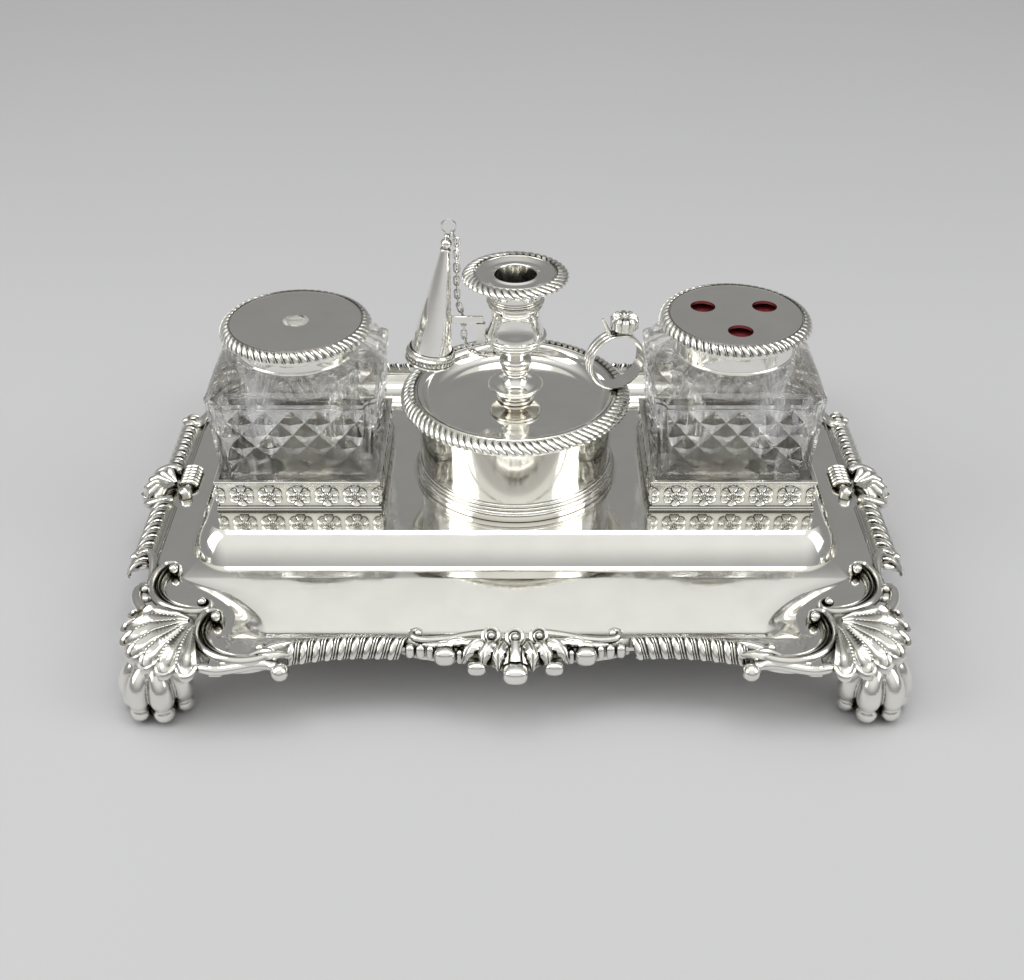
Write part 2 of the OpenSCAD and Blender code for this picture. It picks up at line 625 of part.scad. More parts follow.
// Panel of four-sided pyramids, lying on XY with its outer face up
module pyramid_panel() {
    px = panel_w / panel_count;
    rows = 2;
    pz = panel_h / rows;
    tips = panel_cut - 0.1;
    base = -0.6;
    for (k = [0:panel_count - 1], j = [0:rows - 1])
        translate([(k + 0.5) * px - panel_w / 2, (j + 0.5) * pz - panel_h / 2, 0])
            polyhedron(points = [[-px / 2, 0, 0], [0, -pz / 2, 0], [px / 2, 0, 0], [0, pz / 2, 0], [0, 0, tips],
                [-px / 2, 0, base], [0, -pz / 2, base], [px / 2, 0, base], [0, pz / 2, base]],
                faces = [[0, 4, 1], [1, 4, 2], [2, 4, 3], [3, 4, 0], [5, 0, 1, 6], [6, 1, 2, 7], [7, 2, 3, 8],
                    [8, 3, 0, 5], [5, 6, 7, 8]]);
}

module bottle() {
    difference() {
        union() {
            skin([bottle_ring(bottle_half, deck_z), bottle_ring(bottle_half, flare_z),
                bottle_ring(shoulder_half, shoulder_z)]);
            hull() {
                translate([0, 0, shoulder_z - 1]) linear_extrude(1.6)
                    square(2 * (shoulder_half - corner_cut_r), center = true);
                translate([0, 0, glass_neck_z - 0.8]) cylinder(h = 0.8, r = neck_r, $fn = 32);
            }
            translate([0, 0, shoulder_z]) cylinder(h = shoulder_h + neck_h, r = neck_r);
        }
        translate([0, 0, deck_z + well_floor]) cylinder(h = body_h - well_floor - 7, r = well_r);
        translate([0, 0, shoulder_z - 7 - seam]) cylinder(h = 7 + seam * 2, r1 = well_r, r2 = neck_bore_r);
        translate([0, 0, shoulder_z]) cylinder(h = shoulder_h + neck_h + 1, r = neck_bore_r);
        for (side = [0:3]) on_side(side)
            translate([-panel_w / 2, -panel_h / 2, -panel_cut]) cube([panel_w, panel_h, panel_cut + 1]);
    }
    for (side = [0:3]) on_side(side) translate([0, 0, -panel_cut]) pyramid_panel();
}

module collar(height) {
    neck_top = shoulder_h + neck_h;
    translate([0, 0, shoulder_z]) rotate_extrude() polygon([
        [neck_r + gap, shoulder_h + gap], [collar_r, shoulder_h + gap], [collar_r, shoulder_h + height],
        [neck_bore_r, shoulder_h + height], [neck_bore_r, neck_top + gap], [neck_r + gap, neck_top + gap]]);
}

module cap(top_z, holes) {
    seat = top_z - cap_h;
    plug_r = neck_bore_r - plug_fit;
    difference() {
        rotate_extrude() polygon([[0, top_z], [plate_r, top_z], [plate_r, seat + 2.4], [plate_r + 1, seat + 2.1],
            [plate_r + 1, seat + 1.3], [plate_r + 0.4, seat + 1.1], [plate_r + 0.6, seat + 0.3],
            [plate_r, seat], [plug_r, seat], [plug_r, seat - 4.4], [plug_r - plug_wall, seat - 4.4],
            [plug_r - plug_wall, seat + 1.2], [plate_r - 1.4, seat + 1.2], [plate_r - 1.4, top_z - plate_t],
            [0, top_z - plate_t]]);
        for (p = holes) translate([p[0], p[1], top_z - plate_t - 1]) cylinder(h = plate_t + 2, r = p[2]);
    }
}

left_top = glass_neck_z + left_collar_h + cap_h;
right_top = glass_neck_z + right_collar_h + cap_h;

module left_bottle() color("lightcyan") translate([-well_x, 0, 0]) bottle();
module right_bottle() color("lightcyan") translate([well_x, 0, 0]) bottle();
module left_collar() color("silver") translate([-well_x, 0, 0]) collar(left_collar_h);
module right_collar() color("silver") translate([well_x, 0, 0]) collar(right_collar_h);
module left_cap() color("gainsboro") translate([-well_x, 0, 0]) cap(left_top, [[0, 0, dip_hole_r]]);
module right_cap() color("gainsboro") translate([well_x, 0, 0])
    cap(right_top, [for (a = [30, 150, 270]) [quill_pitch_r * cos(a), quill_pitch_r * sin(a), quill_hole_r]]);

cap_lobes = 30;
module cap_rim(top_z) gadroon_ring(plate_r + gap, plate_r + cap_rim_w, top_z, cap_rim_h, cap_lobes, 0.7, 1);
module left_cap_rim() color("silver") translate([-well_x, 0, 0]) cap_rim(left_top);
module right_cap_rim() color("silver") translate([well_x, 0, 0]) cap_rim(right_top);

module quill_disc() color("darkred") translate([well_x, 0, right_top - cap_h + 1.2])
    cylinder(h = quill_disc_t, r = plate_r - 1.4 - gap);

// ---------------------------------------------------------------- wafer box

module wafer_box() color("gainsboro") rotate_extrude() polygon([
    [0, deck_z], [drum_r, deck_z], [drum_r, seat_z - 3], [drum_r + 0.7, seat_z - 2.6],
    [drum_r + 0.7, seat_z - 1.4], [drum_r, seat_z - 1], [drum_r, seat_z], [drum_r - drum_wall, seat_z],
    [drum_r - drum_wall, deck_z + drum_wall], [0, deck_z + drum_wall]]);

module wafer_box_foot_ring() color("silver") {
    third = foot_ring_h / 3;
    rotate_extrude() {
        translate([drum_r + gap, deck_z]) square([foot_ring_w - gap, third]);
        translate([drum_r + gap, deck_z + third - seam]) square([foot_ring_w * 0.7, third + seam]);
        translate([drum_r + gap, deck_z + 2 * third - seam]) square([foot_ring_w * 0.4, third + seam]);
    }
}

// ---------------------------------------------------------------- chamberstick

lip_z0 = seat_z + lip_h;
locate_r = drum_r - drum_wall - lid_fit;
dome = 1.1;
module dish() color("gainsboro") rotate_extrude() polygon(concat(
    [for (i = [0:6]) let(t = i / 6) [mix(0, dish_flat_r, t), floor_z + dome * (1 - t * t)]],
    [for (i = [1:6]) let(t = i / 6) [dish_flat_r + (dish_cove_w - 3) * sin(90 * t), lip_z0 - dish_depth * cos(90 * t)]],
    [[dish_lip_r, lip_z0], [dish_lip_r, seat_z], [locate_r, seat_z], [locate_r, seat_z - 3.4],
     [locate_r - 1, seat_z - 3.4], [locate_r - 1, seat_z], [locate_r - 2, seat_z]],
    [for (i = [0:5]) let(t = 1 - i / 5) [mix(0, dish_flat_r, t), floor_z - dish_t + dome * (1 - t * t)]]));

dish_lobes = 42;
module dish_rim() color("silver")
    gadroon_ring(dish_lip_r + gap, dish_rim_r, lip_z0 + 0.4, dish_rim_h, dish_lobes, 1, 1);

module stem() color("gainsboro") rotate_extrude() polygon(concat(
    [[0, stem_z], [7.6, stem_z], [7.6, stem_z + 0.6], [4.4, stem_z + 1.6], [4.2, stem_z + 2.4]],
    arc(9.6, stem_z + 4.4, 2, -90, 90, 8),
    arc(10.6, stem_z + 12.6, 6.2, 258, 180, 8),
    arc(5, stem_z + 14, 0.9, -80, 80, 4),
    arc(4.6, stem_z + 17.4, 1.9, -80, 80, 8),
    [[4.6, stem_z + stem_h - 1], [5.5, stem_z + stem_h], [0, stem_z + stem_h]]));

socket_wall = 0.8;
module socket_profile() polygon(concat(
    [[0, cup_z], [5.5, cup_z]],
    arc(5.5, cup_z + 7, 6.4, -90, -22, 6),
    [[belly_r - 0.8, cup_z + 4.9], [belly_r - 0.8, cup_z + 6]],
    arc(belly_r - 5, cup_z + 9, 5, -25, 60, 8),
    arc(socket_bore_r + socket_wall + 7, cup_z + 18, 7, 214, 148, 6),
    [[belly_r - 1.6, lip_z - 1.8], [belly_r - 1.2, lip_z - 1], [belly_r - 1.6, lip_z], [0, lip_z]]));

lug_in = hook_w / 2 + hook_fit;
lug_x = belly_r + 0.1 + lug_in;
lug_wall = 0.6;
lug_z = lip_z - 20;
lug_h = 9;
module candle_socket() color("gainsboro") difference() {
    union() {
        rotate_extrude() socket_profile();
        translate([-lug_x - lug_in - lug_wall, -hook_t / 2 - hook_fit - lug_wall, lug_z])
            cube([2 * lug_in + 2 * lug_wall + 1, hook_t + 2 * hook_fit + 2 * lug_wall, lug_h]);
        translate([-8, 0, cup_z + 0.6]) rotate([90, 0, 0]) rotate_extrude() translate([1.3, 0]) circle(r = wire_r);
    }
    translate([0, 0, cup_z + 6]) cylinder(h = socket_h, r = socket_bore_r);
    translate([-lug_x - lug_in, -hook_t / 2 - hook_fit, lug_z - 1]) cube([2 * lug_in, hook_t + 2 * hook_fit, lug_h + 2]);
}

module nozzle() color("gainsboro") rotate_extrude() {
    out = socket_bore_r - nozzle_fit;
    in = out - nozzle_wall;
    rim_in = pan_r - pan_rim_w;
    polygon(concat(
        [[in, lip_z - sleeve_l], [out, lip_z - sleeve_l], [out, lip_z], [out + 2.2, lip_z],
         [out + 2.4, lip_z + 1.4]],
        [for (i = [0:6]) let(a = 15 * i)
            [mix(out + 1.2, rim_in, 1 - cos(a)), mix(lip_z + 2.4, pan_z - 1.6, sin(a))]],
        [[rim_in, pan_z - 0.1], [rim_in - 0.8, pan_z - 0.3], [in + 3, pan_z - 1], [in + 0.8, pan_z - 0.9],
         [in, pan_z - 0.4]]));
}

pan_lobes = 30;
module nozzle_rim() color("silver")
    gadroon_ring(pan_r - pan_rim_w + gap, pan_r, pan_z + 0.2, 2.8, pan_lobes, 1.1, 1);

// ---------------------------------------------------------------- ring handle

plinth_drop = 0.9;
module ring_handle() color("gainsboro") translate([ring_x, 0, ring_z]) rotate(ring_yaw) {
    rotate([90, 0, 0]) rotate_extrude() translate([ring_r - ring_t, -ring_w / 2]) square([ring_t, ring_w]);
    translate([-3.2, -2, -ring_r - plinth_drop]) cube([6.4, 4, plinth_drop + 0.4]);
    translate([-2.6, 0, ring_r - 0.4]) rotate([0, -24, 0]) cylinder(h = 8.4, r1 = 1.1, r2 = 0.4);
}

thumb_up = 6;
module thumb_flower() color("silver") translate([ring_x, 0, ring_z]) rotate(ring_yaw)
    translate([3.4, 0, ring_r + gap]) {
        difference() {
            translate([-3.6, -2.4, -1.6]) cube([7.2, 4.8, thumb_up + 1.8]);
            translate([-3.4, 0, -ring_r - gap]) rotate([90, 0, 0]) cylinder(h = 20, r = ring_r + gap, center = true);
        }
        translate([0.2, 0, thumb_up]) for (k = [0:7])
            rotate(45 * k) translate([thumb_r - 2.4, 0, 0]) cylinder(h = 2.4, r = 2.4);
        translate([0.2, 0, thumb_up]) cylinder(h = 3, r = 3.2);
    }

// ---------------------------------------------------------------- extinguisher

foot_l = 6;
module on_cone_axis() translate([-snuffer_x, 0, mouth_z]) rotate([0, snuffer_lean, 0]) children();

cone_top_r = 1.9;
module extinguisher_cone() color("gainsboro") on_cone_axis() difference() {
    translate([0, 0, foot_l - 2]) cylinder(h = cone_l - foot_l + 2, r1 = cone_r + 0.3, r2 = cone_top_r);
    translate([0, 0, foot_l - 2 - seam])
        cylinder(h = cone_l - foot_l - 4, r1 = cone_r + 0.3 - cone_wall, r2 = cone_top_r + 0.3 - cone_wall * 0.3);
}

module extinguisher_foot() color("silver") on_cone_axis() rotate_extrude() polygon([
    [cone_foot_r - 1, 0], [cone_foot_r, 0.4], [cone_foot_r, 1], [cone_foot_r - 0.5, 1.3], [cone_foot_r - 0.5, 3.2],
    [cone_foot_r, 3.5], [cone_foot_r - 0.2, 4.3], [cone_r + 0.5, foot_l], [cone_r + 0.35, foot_l - 2 - gap],
    [cone_r - 0.4, foot_l - 2 - gap], [cone_r - 0.2, 0.3]]);

finial_h = 7;
module extinguisher_finial() color("silver") on_cone_axis() translate([0, 0, cone_l + gap]) {
    rotate_extrude() polygon(concat([[0, 0], [2.2, 0], [2.2, 0.8], [1.2, 1.2]], arc(0.6, 3.2, 1.7, -70, 70, 8),
        [[0.9, finial_h - 1.2], [1.3, finial_h - 0.6], [0.7, finial_h + 0.2], [0, finial_h + 0.2]]));
    translate([0, 0, finial_h + eye_r]) rotate([90, 0, 0]) rotate_extrude() translate([eye_r - wire_r, 0]) circle(r = wire_r);
}

bar_h = 3;
leg_l = 7.6;
hook_z = lug_z + lug_h + gap;
cone_at_bar = snuffer_x - (hook_z + bar_h / 2 - mouth_z) * tan(snuffer_lean);
module extinguisher_hook() color("gainsboro") difference() {
    union() {
        translate([-cone_at_bar, -hook_t / 2, hook_z]) cube([cone_at_bar - lug_x + hook_w / 2, hook_t, bar_h]);
        translate([-lug_x - hook_w / 2, -hook_t / 2, hook_z - leg_l]) cube([hook_w, hook_t, leg_l + bar_h]);
    }
    on_cone_axis() translate([0, 0, foot_l - 2])
        cylinder(h = cone_l - foot_l + 2, r1 = cone_r + 0.3 + gap / 2, r2 = cone_top_r + gap / 2);
}

// ---------------------------------------------------------------- chain

eye_x = -snuffer_x + (cone_l + finial_h + eye_r) * sin(snuffer_lean);
eye_z = mouth_z + (cone_l + finial_h + eye_r) * cos(snuffer_lean);
lower_eye = [-8, 0, cup_z + 0.6];
// Route of the chain, from the ring on the finial to the eye under the socket
route = [[eye_x + 2, 0, eye_z - 3.8], [eye_x + 3, 0.2, eye_z - 6.6], [-23.5, 2.2, pan_z + 3], [-23.4, 3.8, lip_z - 2],
    [-21.4, 3.2, hook_z - 2], [-20.9, 2.4, cup_z + 5.7], [-18.4, 1.4, cup_z + 1.4], [-14.4, 0.5, cup_z - 0.3],
    [lower_eye[0] - 2.5, 0, cup_z - 0.05]];

function spline(p, i, t) = let(a = p[max(i - 1, 0)], b = p[i], c = p[i + 1], d = p[min(i + 2, len(p) - 1)])
    0.5 * (2 * b + (c - a) * t + (2 * a - 5 * b + 4 * c - d) * t * t + (3 * b - a - 3 * c + d) * t * t * t);
fine = 12;
path = concat([for (i = [0:len(route) - 2], j = [0:fine - 1]) spline(route, i, j / fine)], [route[len(route) - 1]]);
function run(p, i = 0, s = 0) = i >= len(p) - 1 ? [s] : concat([s], run(p, i + 1, s + norm(p[i + 1] - p[i])));
lengths = run(path);
function at(s, i = 0) = i >= len(path) - 2 || lengths[i + 1] >= s
    ? mix(path[i], path[i + 1], (s - lengths[i]) / (lengths[i + 1] - lengths[i])) : at(s, i + 1);

// An even count, so that the first and the last link both stand across their rings
link_count = 2 * round(lengths[len(lengths) - 1] / (2 * (link_l - 2 * wire_r - 0.25)));
link_pitch = lengths[len(lengths) - 1] / link_count;

module link() {
    straight = link_l / 2 - link_w / 2;
    for (end = [0, 180]) rotate([0, end, 0]) translate([0, 0, straight])
        rotate([90, 0, 0]) rotate_extrude(angle = 180) translate([link_w / 2 + wire_r, 0]) circle(r = wire_r, $fn = 24);
    for (sx = [-1, 1]) translate([sx * (link_w / 2 + wire_r), 0, -straight]) cylinder(h = 2 * straight, r = wire_r, $fn = 24);
}

module chain() color("silver") for (k = [0:link_count]) {
    ahead = at(k * link_pitch + 0.5) - at(k * link_pitch - 0.5);
    translate(at(k * link_pitch)) rotate([0, atan2(ahead[0], ahead[2]), 0]) rotate([-asin(ahead[1] / norm(ahead)), 0, 0])
        rotate(k % 2 == 0 ? 90 : 0) link();
}

tray_plate();
gadroon_front();
gadroon_rear();
gadroon_left();
gadroon_right();
corner_shell_front_left();
corner_shell_front_right();
corner_shell_rear_left();
corner_shell_rear_right();
centre_shell_front();
centre_shell_rear();
side_shell_left();
side_shell_right();
paw_foot_front_left();
paw_foot_front_right();
paw_foot_rear_left();
paw_foot_rear_right();
left_gallery();
right_gallery();
wafer_box();
wafer_box_foot_ring();
left_bottle();
right_bottle();
left_collar();
right_collar();
left_cap();
right_cap();
left_cap_rim();
right_cap_rim();
quill_disc();
dish();
dish_rim();
stem();
candle_socket();
ring_handle();
thumb_flower();
nozzle();
nozzle_rim();
extinguisher_cone();
extinguisher_foot();
extinguisher_finial();
extinguisher_hook();
chain();
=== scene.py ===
"""Looks of a silver desk inkstand, built round its packed construction.

Sizes are in millimetres and in the frame of the construction: +X to the right, -Y to the front,
+Z up, with the origin on the table under the middle of the tray.
"""

from __future__ import annotations

import json
import logging
import math
from dataclasses import dataclass, field
from enum import Enum
from typing import Callable, Sequence

import bmesh
import bpy
from mathutils import Matrix, Vector
from mathutils.geometry import delaunay_2d_cdt

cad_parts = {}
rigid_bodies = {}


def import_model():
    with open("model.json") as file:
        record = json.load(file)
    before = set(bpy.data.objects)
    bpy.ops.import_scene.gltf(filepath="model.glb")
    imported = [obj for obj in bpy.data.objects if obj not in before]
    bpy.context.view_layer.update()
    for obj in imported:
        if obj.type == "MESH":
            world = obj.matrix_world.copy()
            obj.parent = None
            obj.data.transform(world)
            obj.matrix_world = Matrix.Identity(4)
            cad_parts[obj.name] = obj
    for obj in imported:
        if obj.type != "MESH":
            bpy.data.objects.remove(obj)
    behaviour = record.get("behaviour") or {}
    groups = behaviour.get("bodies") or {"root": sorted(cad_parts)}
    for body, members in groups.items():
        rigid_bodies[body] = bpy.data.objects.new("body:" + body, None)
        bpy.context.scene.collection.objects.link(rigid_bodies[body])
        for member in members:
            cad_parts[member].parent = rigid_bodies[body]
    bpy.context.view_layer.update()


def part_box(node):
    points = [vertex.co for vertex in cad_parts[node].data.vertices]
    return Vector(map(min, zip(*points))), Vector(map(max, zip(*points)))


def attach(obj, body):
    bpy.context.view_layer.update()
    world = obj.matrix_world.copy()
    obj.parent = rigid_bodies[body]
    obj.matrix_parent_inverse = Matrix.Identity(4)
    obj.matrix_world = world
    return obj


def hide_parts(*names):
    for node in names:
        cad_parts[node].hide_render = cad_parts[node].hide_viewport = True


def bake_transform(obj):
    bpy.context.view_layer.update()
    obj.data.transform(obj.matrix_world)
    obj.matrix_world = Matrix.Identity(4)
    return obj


LOG = logging.getLogger("inkstand")
MM = 0.001
WELD = 0.002
UP = Vector((0, 0, 1))

Pair = tuple[float, float]
Triple = tuple[float, float, float]
Colour = Triple
Socket = bpy.types.NodeSocket


class Body(Enum):
    """Bodies of the construction that the pieces ride on."""

    TRAY = "tray"
    LEFT_INKWELL = "left_inkwell"
    RIGHT_INKWELL = "right_inkwell"
    LEFT_CAP = "left_cap"
    RIGHT_CAP = "right_cap"
    CHAMBERSTICK = "chamberstick"
    NOZZLE = "nozzle"
    EXTINGUISHER = "extinguisher"


class Finish(Enum):
    """Finishes, each named as its material slot in the record."""

    POLISHED = "polished_silver"
    CHASED = "chased_silver"
    GLASS = "cut_glass"
    LEATHER = "red_leather"


# ---- curves and profiles


def mix(a: float, b: float, t: float) -> float:
    """Value at share t of the way from a to b."""
    return a + (b - a) * t


def ease(t: float) -> float:
    """Smooth step from 0 to 1, held at both ends."""
    t = min(1.0, max(0.0, t))
    return t * t * (3 - 2 * t)


def bump(x: float, centre: float, width: float) -> float:
    """Bell of height 1 round a centre."""
    return math.exp(-(((x - centre) / width) ** 2))


def sine(degrees: float) -> float:
    """Sine of an angle in degrees."""
    return math.sin(math.radians(degrees))


def cosine(degrees: float) -> float:
    """Cosine of an angle in degrees."""
    return math.cos(math.radians(degrees))


def spin(degrees: float, axis: str = "Z") -> Matrix:
    """Turn about an axis through the origin."""
    return Matrix.Rotation(math.radians(degrees), 4, axis)


def polar(radius: float, degrees: float) -> Pair:
    """Point of a circle about the origin."""
    a = math.radians(degrees)
    return radius * math.cos(a), radius * math.sin(a)


def arc(cx: float, cy: float, radius: float, start: float, end: float, steps: int) -> list[Pair]:
    """Points along an arc.

    Args:
        cx: Centre, first coordinate.
        cy: Centre, second coordinate.
        radius: Radius of the arc.
        start: First angle in degrees.
        end: Last angle in degrees.
        steps: Number of steps between them.

    Returns:
        The points, both ends included.
    """
    places = [polar(radius, mix(start, end, i / steps)) for i in range(steps + 1)]
    return [(cx + x, cy + y) for x, y in places]


def softened(profile: Sequence[Pair], radius: float, steps: int = 3) -> list[Pair]:
    """Rounds the inner corners of a profile.

    Args:
        profile: Points of an open profile.
        radius: Length cut off each side of a corner.
        steps: Steps in each rounding.

    Returns:
        The profile with its corners rounded.
    """
    made = [profile[0]]
    for before, here, after in zip(profile, profile[1:], profile[2:]):
        a, b, c = Vector(before), Vector(here), Vector(after)
        first, last = (a - b), (c - b)
        if first.length < 1e-6 or last.length < 1e-6:
            continue
        p = b + first.normalized() * min(radius, first.length * 0.45)
        q = b + last.normalized() * min(radius, last.length * 0.45)
        for i in range(steps + 1):
            t = i / steps
            point = p * (1 - t) ** 2 + b * 2 * t * (1 - t) + q * t * t
            made.append((point.x, point.y))
    made.append(profile[-1])
    return made


def smooth_path(points: Sequence[Sequence[float]], steps: int) -> list[Vector]:
    """Catmull-Rom curve through points.

    Args:
        points: Points that the curve passes.
        steps: Steps between two of them.

    Returns:
        Points along the curve.
    """
    known = [Vector(p) for p in points]
    made = []
    for i in range(len(known) - 1):
        a, b = known[max(i - 1, 0)], known[i]
        c, d = known[i + 1], known[min(i + 2, len(known) - 1)]
        for j in range(steps):
            t = j / steps
            made.append(0.5 * (2 * b + (c - a) * t + (2 * a - 5 * b + 4 * c - d) * t * t + (
                3 * b - a - 3 * c + d) * t ** 3))
    return made + [known[-1]]


# ---- shapes


@dataclass
class Shape:
    """Points and the faces that join them."""

    points: list[Vector] = field(default_factory=list)
    faces: list[tuple[int, ...]] = field(default_factory=list)

    def add(self, *others: Shape) -> Shape:
        """Takes other shapes in.

        Args:
            others: The other shapes.

        Returns:
            This shape.
        """
        for other in others:
            base = len(self.points)
            self.points += other.points
            self.faces += [tuple(i + base for i in f) for f in other.faces]
        return self

    def placed(self, matrix: Matrix) -> Shape:
        """A copy moved by a matrix, its faces turned over where that mirrors it.

        Args:
            matrix: Where the copy goes.

        Returns:
            The copy.
        """
        turned = matrix.determinant() < 0
        faces = [tuple(reversed(f)) if turned else f for f in self.faces]
        return Shape([matrix @ p for p in self.points], faces)

    def moved(self, x: float = 0, y: float = 0, z: float = 0) -> Shape:
        """A copy moved along the axes."""
        return self.placed(Matrix.Translation((x, y, z)))

    def turned(self, degrees: float, axis: str = "Z") -> Shape:
        """A copy turned about an axis through the origin."""
        return self.placed(spin(degrees, axis))

    def quarter(self, sx: float, sy: float) -> Shape:
        """A copy in another quarter of the tray, mirrored where a sign is negative."""
        return self.placed(Matrix.Diagonal((sx, sy, 1, 1)))


def lofted(rings: Sequence[Sequence[Vector]], looped: bool = False, ends: bool = True) -> Shape:
    """Skin over rings of points.

    Args:
        rings: Rings with the same number of points.
        looped: Whether the last ring meets the first.
        ends: Whether the first and last ring are closed.

    Returns:
        The shape.
    """
    n, m = len(rings[0]), len(rings)
    shape = Shape([Vector(p) for ring in rings for p in ring])
    for i in range(m if looped else m - 1):
        for j in range(n):
            k, low, high = (j + 1) % n, i * n, (i + 1) % m * n
            shape.faces.append((low + j, low + k, high + k, high + j))
    if ends and not looped:
        shape.faces.append(tuple(reversed(range(n))))
        shape.faces.append(tuple(range((m - 1) * n, m * n)))
    return shape


def sheet_of(rows: Sequence[Sequence[Vector]]) -> Shape:
    """Open surface over rows of points.

    Args:
        rows: Rows of as many points each.

    Returns:
        The open surface.
    """
    n = len(rows[0])
    shape = Shape([Vector(p) for row in rows for p in row])
    for i in range(len(rows) - 1):
        for j in range(n - 1):
            a = i * n + j
            shape.faces.append((a, a + 1, a + n + 1, a + n))
    return shape


def revolved(profile: Sequence[Pair], steps: int = 96, looped: bool = False) -> Shape:
    """Turned shape about the vertical.

    Args:
        profile: Radius and height of each point. An open profile starts and ends on the axis.
        steps: Steps round the axis.
        looped: Whether the profile closes on itself.

    Returns:
        The shape.
    """
    if looped:
        rings = []
        for i in range(steps):
            c, s = polar(1, 360 * i / steps)
            rings.append([Vector((r * c, r * s, z)) for r, z in profile])
        return lofted(rings, looped=True)
    shape = Shape([Vector((0, 0, profile[0][1]))])
    inner = profile[1:-1]
    for r, z in inner:
        for i in range(steps):
            c, s = polar(r, 360 * i / steps)
            shape.points.append(Vector((c, s, z)))
    shape.points.append(Vector((0, 0, profile[-1][1])))
    last = len(shape.points) - 1
    for i in range(steps):
        j = (i + 1) % steps
        shape.faces.append((0, 1 + j, 1 + i))
        for k in range(len(inner) - 1):
            low, high = 1 + k * steps, 1 + (k + 1) * steps
            shape.faces.append((low + i, low + j, high + j, high + i))
        top = 1 + (len(inner) - 1) * steps
        shape.faces.append((top + i, top + j, last))
    return shape


def within(x: float, y: float, loop: Sequence[Sequence[float]]) -> bool:
    """Whether a point lies inside a closed outline.

    Args:
        x: Place across.
        y: Place upwards.
        loop: Points round the outline.

    Returns:
        True inside.
    """
    inside = False
    for p, q in zip(loop, (*loop[1:], loop[0])):
        if (p[1] > y) != (q[1] > y) and x < (q[0] - p[0]) * (y - p[1]) / (q[1] - p[1]) + p[0]:
            inside = not inside
    return inside


def pierced(
        outline: Sequence[Sequence[float]], holes: Sequence[Sequence[Sequence[float]]],
        z: float) -> Shape:
    """Flat face with holes.

    Args:
        outline: Outer edge.
        holes: Edges of the holes.
        z: Height of the face.

    Returns:
        The open face.
    """
    flat, edges = [], []
    for loop in (outline, *holes):
        base = len(flat)
        flat += [Vector(p[:2]) for p in loop]
        edges += [(base + i, base + (i + 1) % len(loop)) for i in range(len(loop))]
    points, _, faces, *_ = delaunay_2d_cdt(flat, edges, [], 1, 1e-5)
    shape = Shape([Vector((p.x, p.y, z)) for p in points])
    for f in faces:
        x, y = sum((points[i] for i in f), Vector((0, 0))) / len(f)
        if within(x, y, outline) and not any(within(x, y, hole) for hole in holes):
            shape.faces.append(tuple(f))
    return shape


def swept(
        path: Sequence[Vector], section: Callable[[float], Sequence[Pair]],
        looped: bool = False) -> Shape:
    """Sweeps a section along a path, kept upright.

    Args:
        path: Points of the path.
        section: Gives the section at a share of the path: to the right of travel, and up.
        looped: Whether the path closes on itself.

    Returns:
        The shape.
    """
    rings = []
    last = len(path) - 1
    for i, p in enumerate(path):
        before = path[i - 1] if i or looped else path[i]
        after = path[(i + 1) % len(path)] if i < last or looped else path[i]
        ahead = (after - before).normalized()
        side = ahead.cross(UP).normalized()
        lift = side.cross(ahead)
        rings.append([p + side * a + lift * b for a, b in section(i / last)])
    return lofted(rings, looped=looped)


def tube(
        path: Sequence[Vector], radius: Callable[[float], float], sides: int = 10,
        flat: float = 1.0, looped: bool = False) -> Shape:
    """Round bar of a changing radius along a path.

    Args:
        path: Points of the path.
        radius: Gives the radius at a share of the path.
        sides: Sides of the section.
        flat: Share that the height is squeezed to.
        looped: Whether the path closes on itself.

    Returns:
        The shape.
    """

    def section(t: float) -> list[Pair]:
        """Section at a share of the path."""
        r = radius(t)
        return [(x, y * flat) for x, y in arc(0, 0, r, 0, 360 - 360 / sides, sides - 1)]

    return swept(path, section, looped)


def blunt(thick: float, tip: float = 0.15, reach: float = 0.12) -> Callable[[float], float]:
    """Radius of a bar with rounded ends.

    Args:
        thick: Radius along the middle.
        tip: Share of it at the very ends.
        reach: Share of the length that the rounding takes.

    Returns:
        The radius at a share of the length.
    """

    def radius(t: float) -> float:
        """Radius at a share of the length."""
        near = min(1.0, min(t, 1 - t) / reach)
        return thick * mix(tip, 1, math.sqrt(1 - (1 - near) ** 2))

    return radius


def ball(centre: Sequence[float], radius: float, squash: float = 1.0, steps: int = 16) -> Shape:
    """Round bead.

    Args:
        centre: Its middle.
        radius: Radius in plan.
        squash: Share that its height is squeezed to.
        steps: Steps round it.

    Returns:
        The closed shape.
    """
    half = steps // 2
    profile = [
        (radius * math.sin(math.pi * i / half), -radius * squash * math.cos(math.pi * i / half))
        for i in range(half + 1)]
    return revolved(profile, steps).moved(*centre)


def block(low: Sequence[float], high: Sequence[float], soft: float) -> Shape:
    """Block with softened upright and level edges.

    Args:
        low: Lowest corner.
        high: Highest corner.
        soft: Length cut off each edge.

    Returns:
        The closed shape.
    """
    rings = []
    for z, inset in ((low[2], soft), (low[2] + soft, 0), (high[2] - soft, 0), (high[2], soft)):
        x0, y0 = low[0] + inset, low[1] + inset
        x1, y1 = high[0] - inset, high[1] - inset
        rings.append([
            Vector((x, y, z))
            for x, y in (
                (x0 + soft, y0), (x1 - soft, y0), (x1, y0 + soft), (x1, y1 - soft), (x1 - soft, y1),
                (x0 + soft, y1), (x0, y1 - soft), (x0, y0 + soft))])
    return lofted(rings)


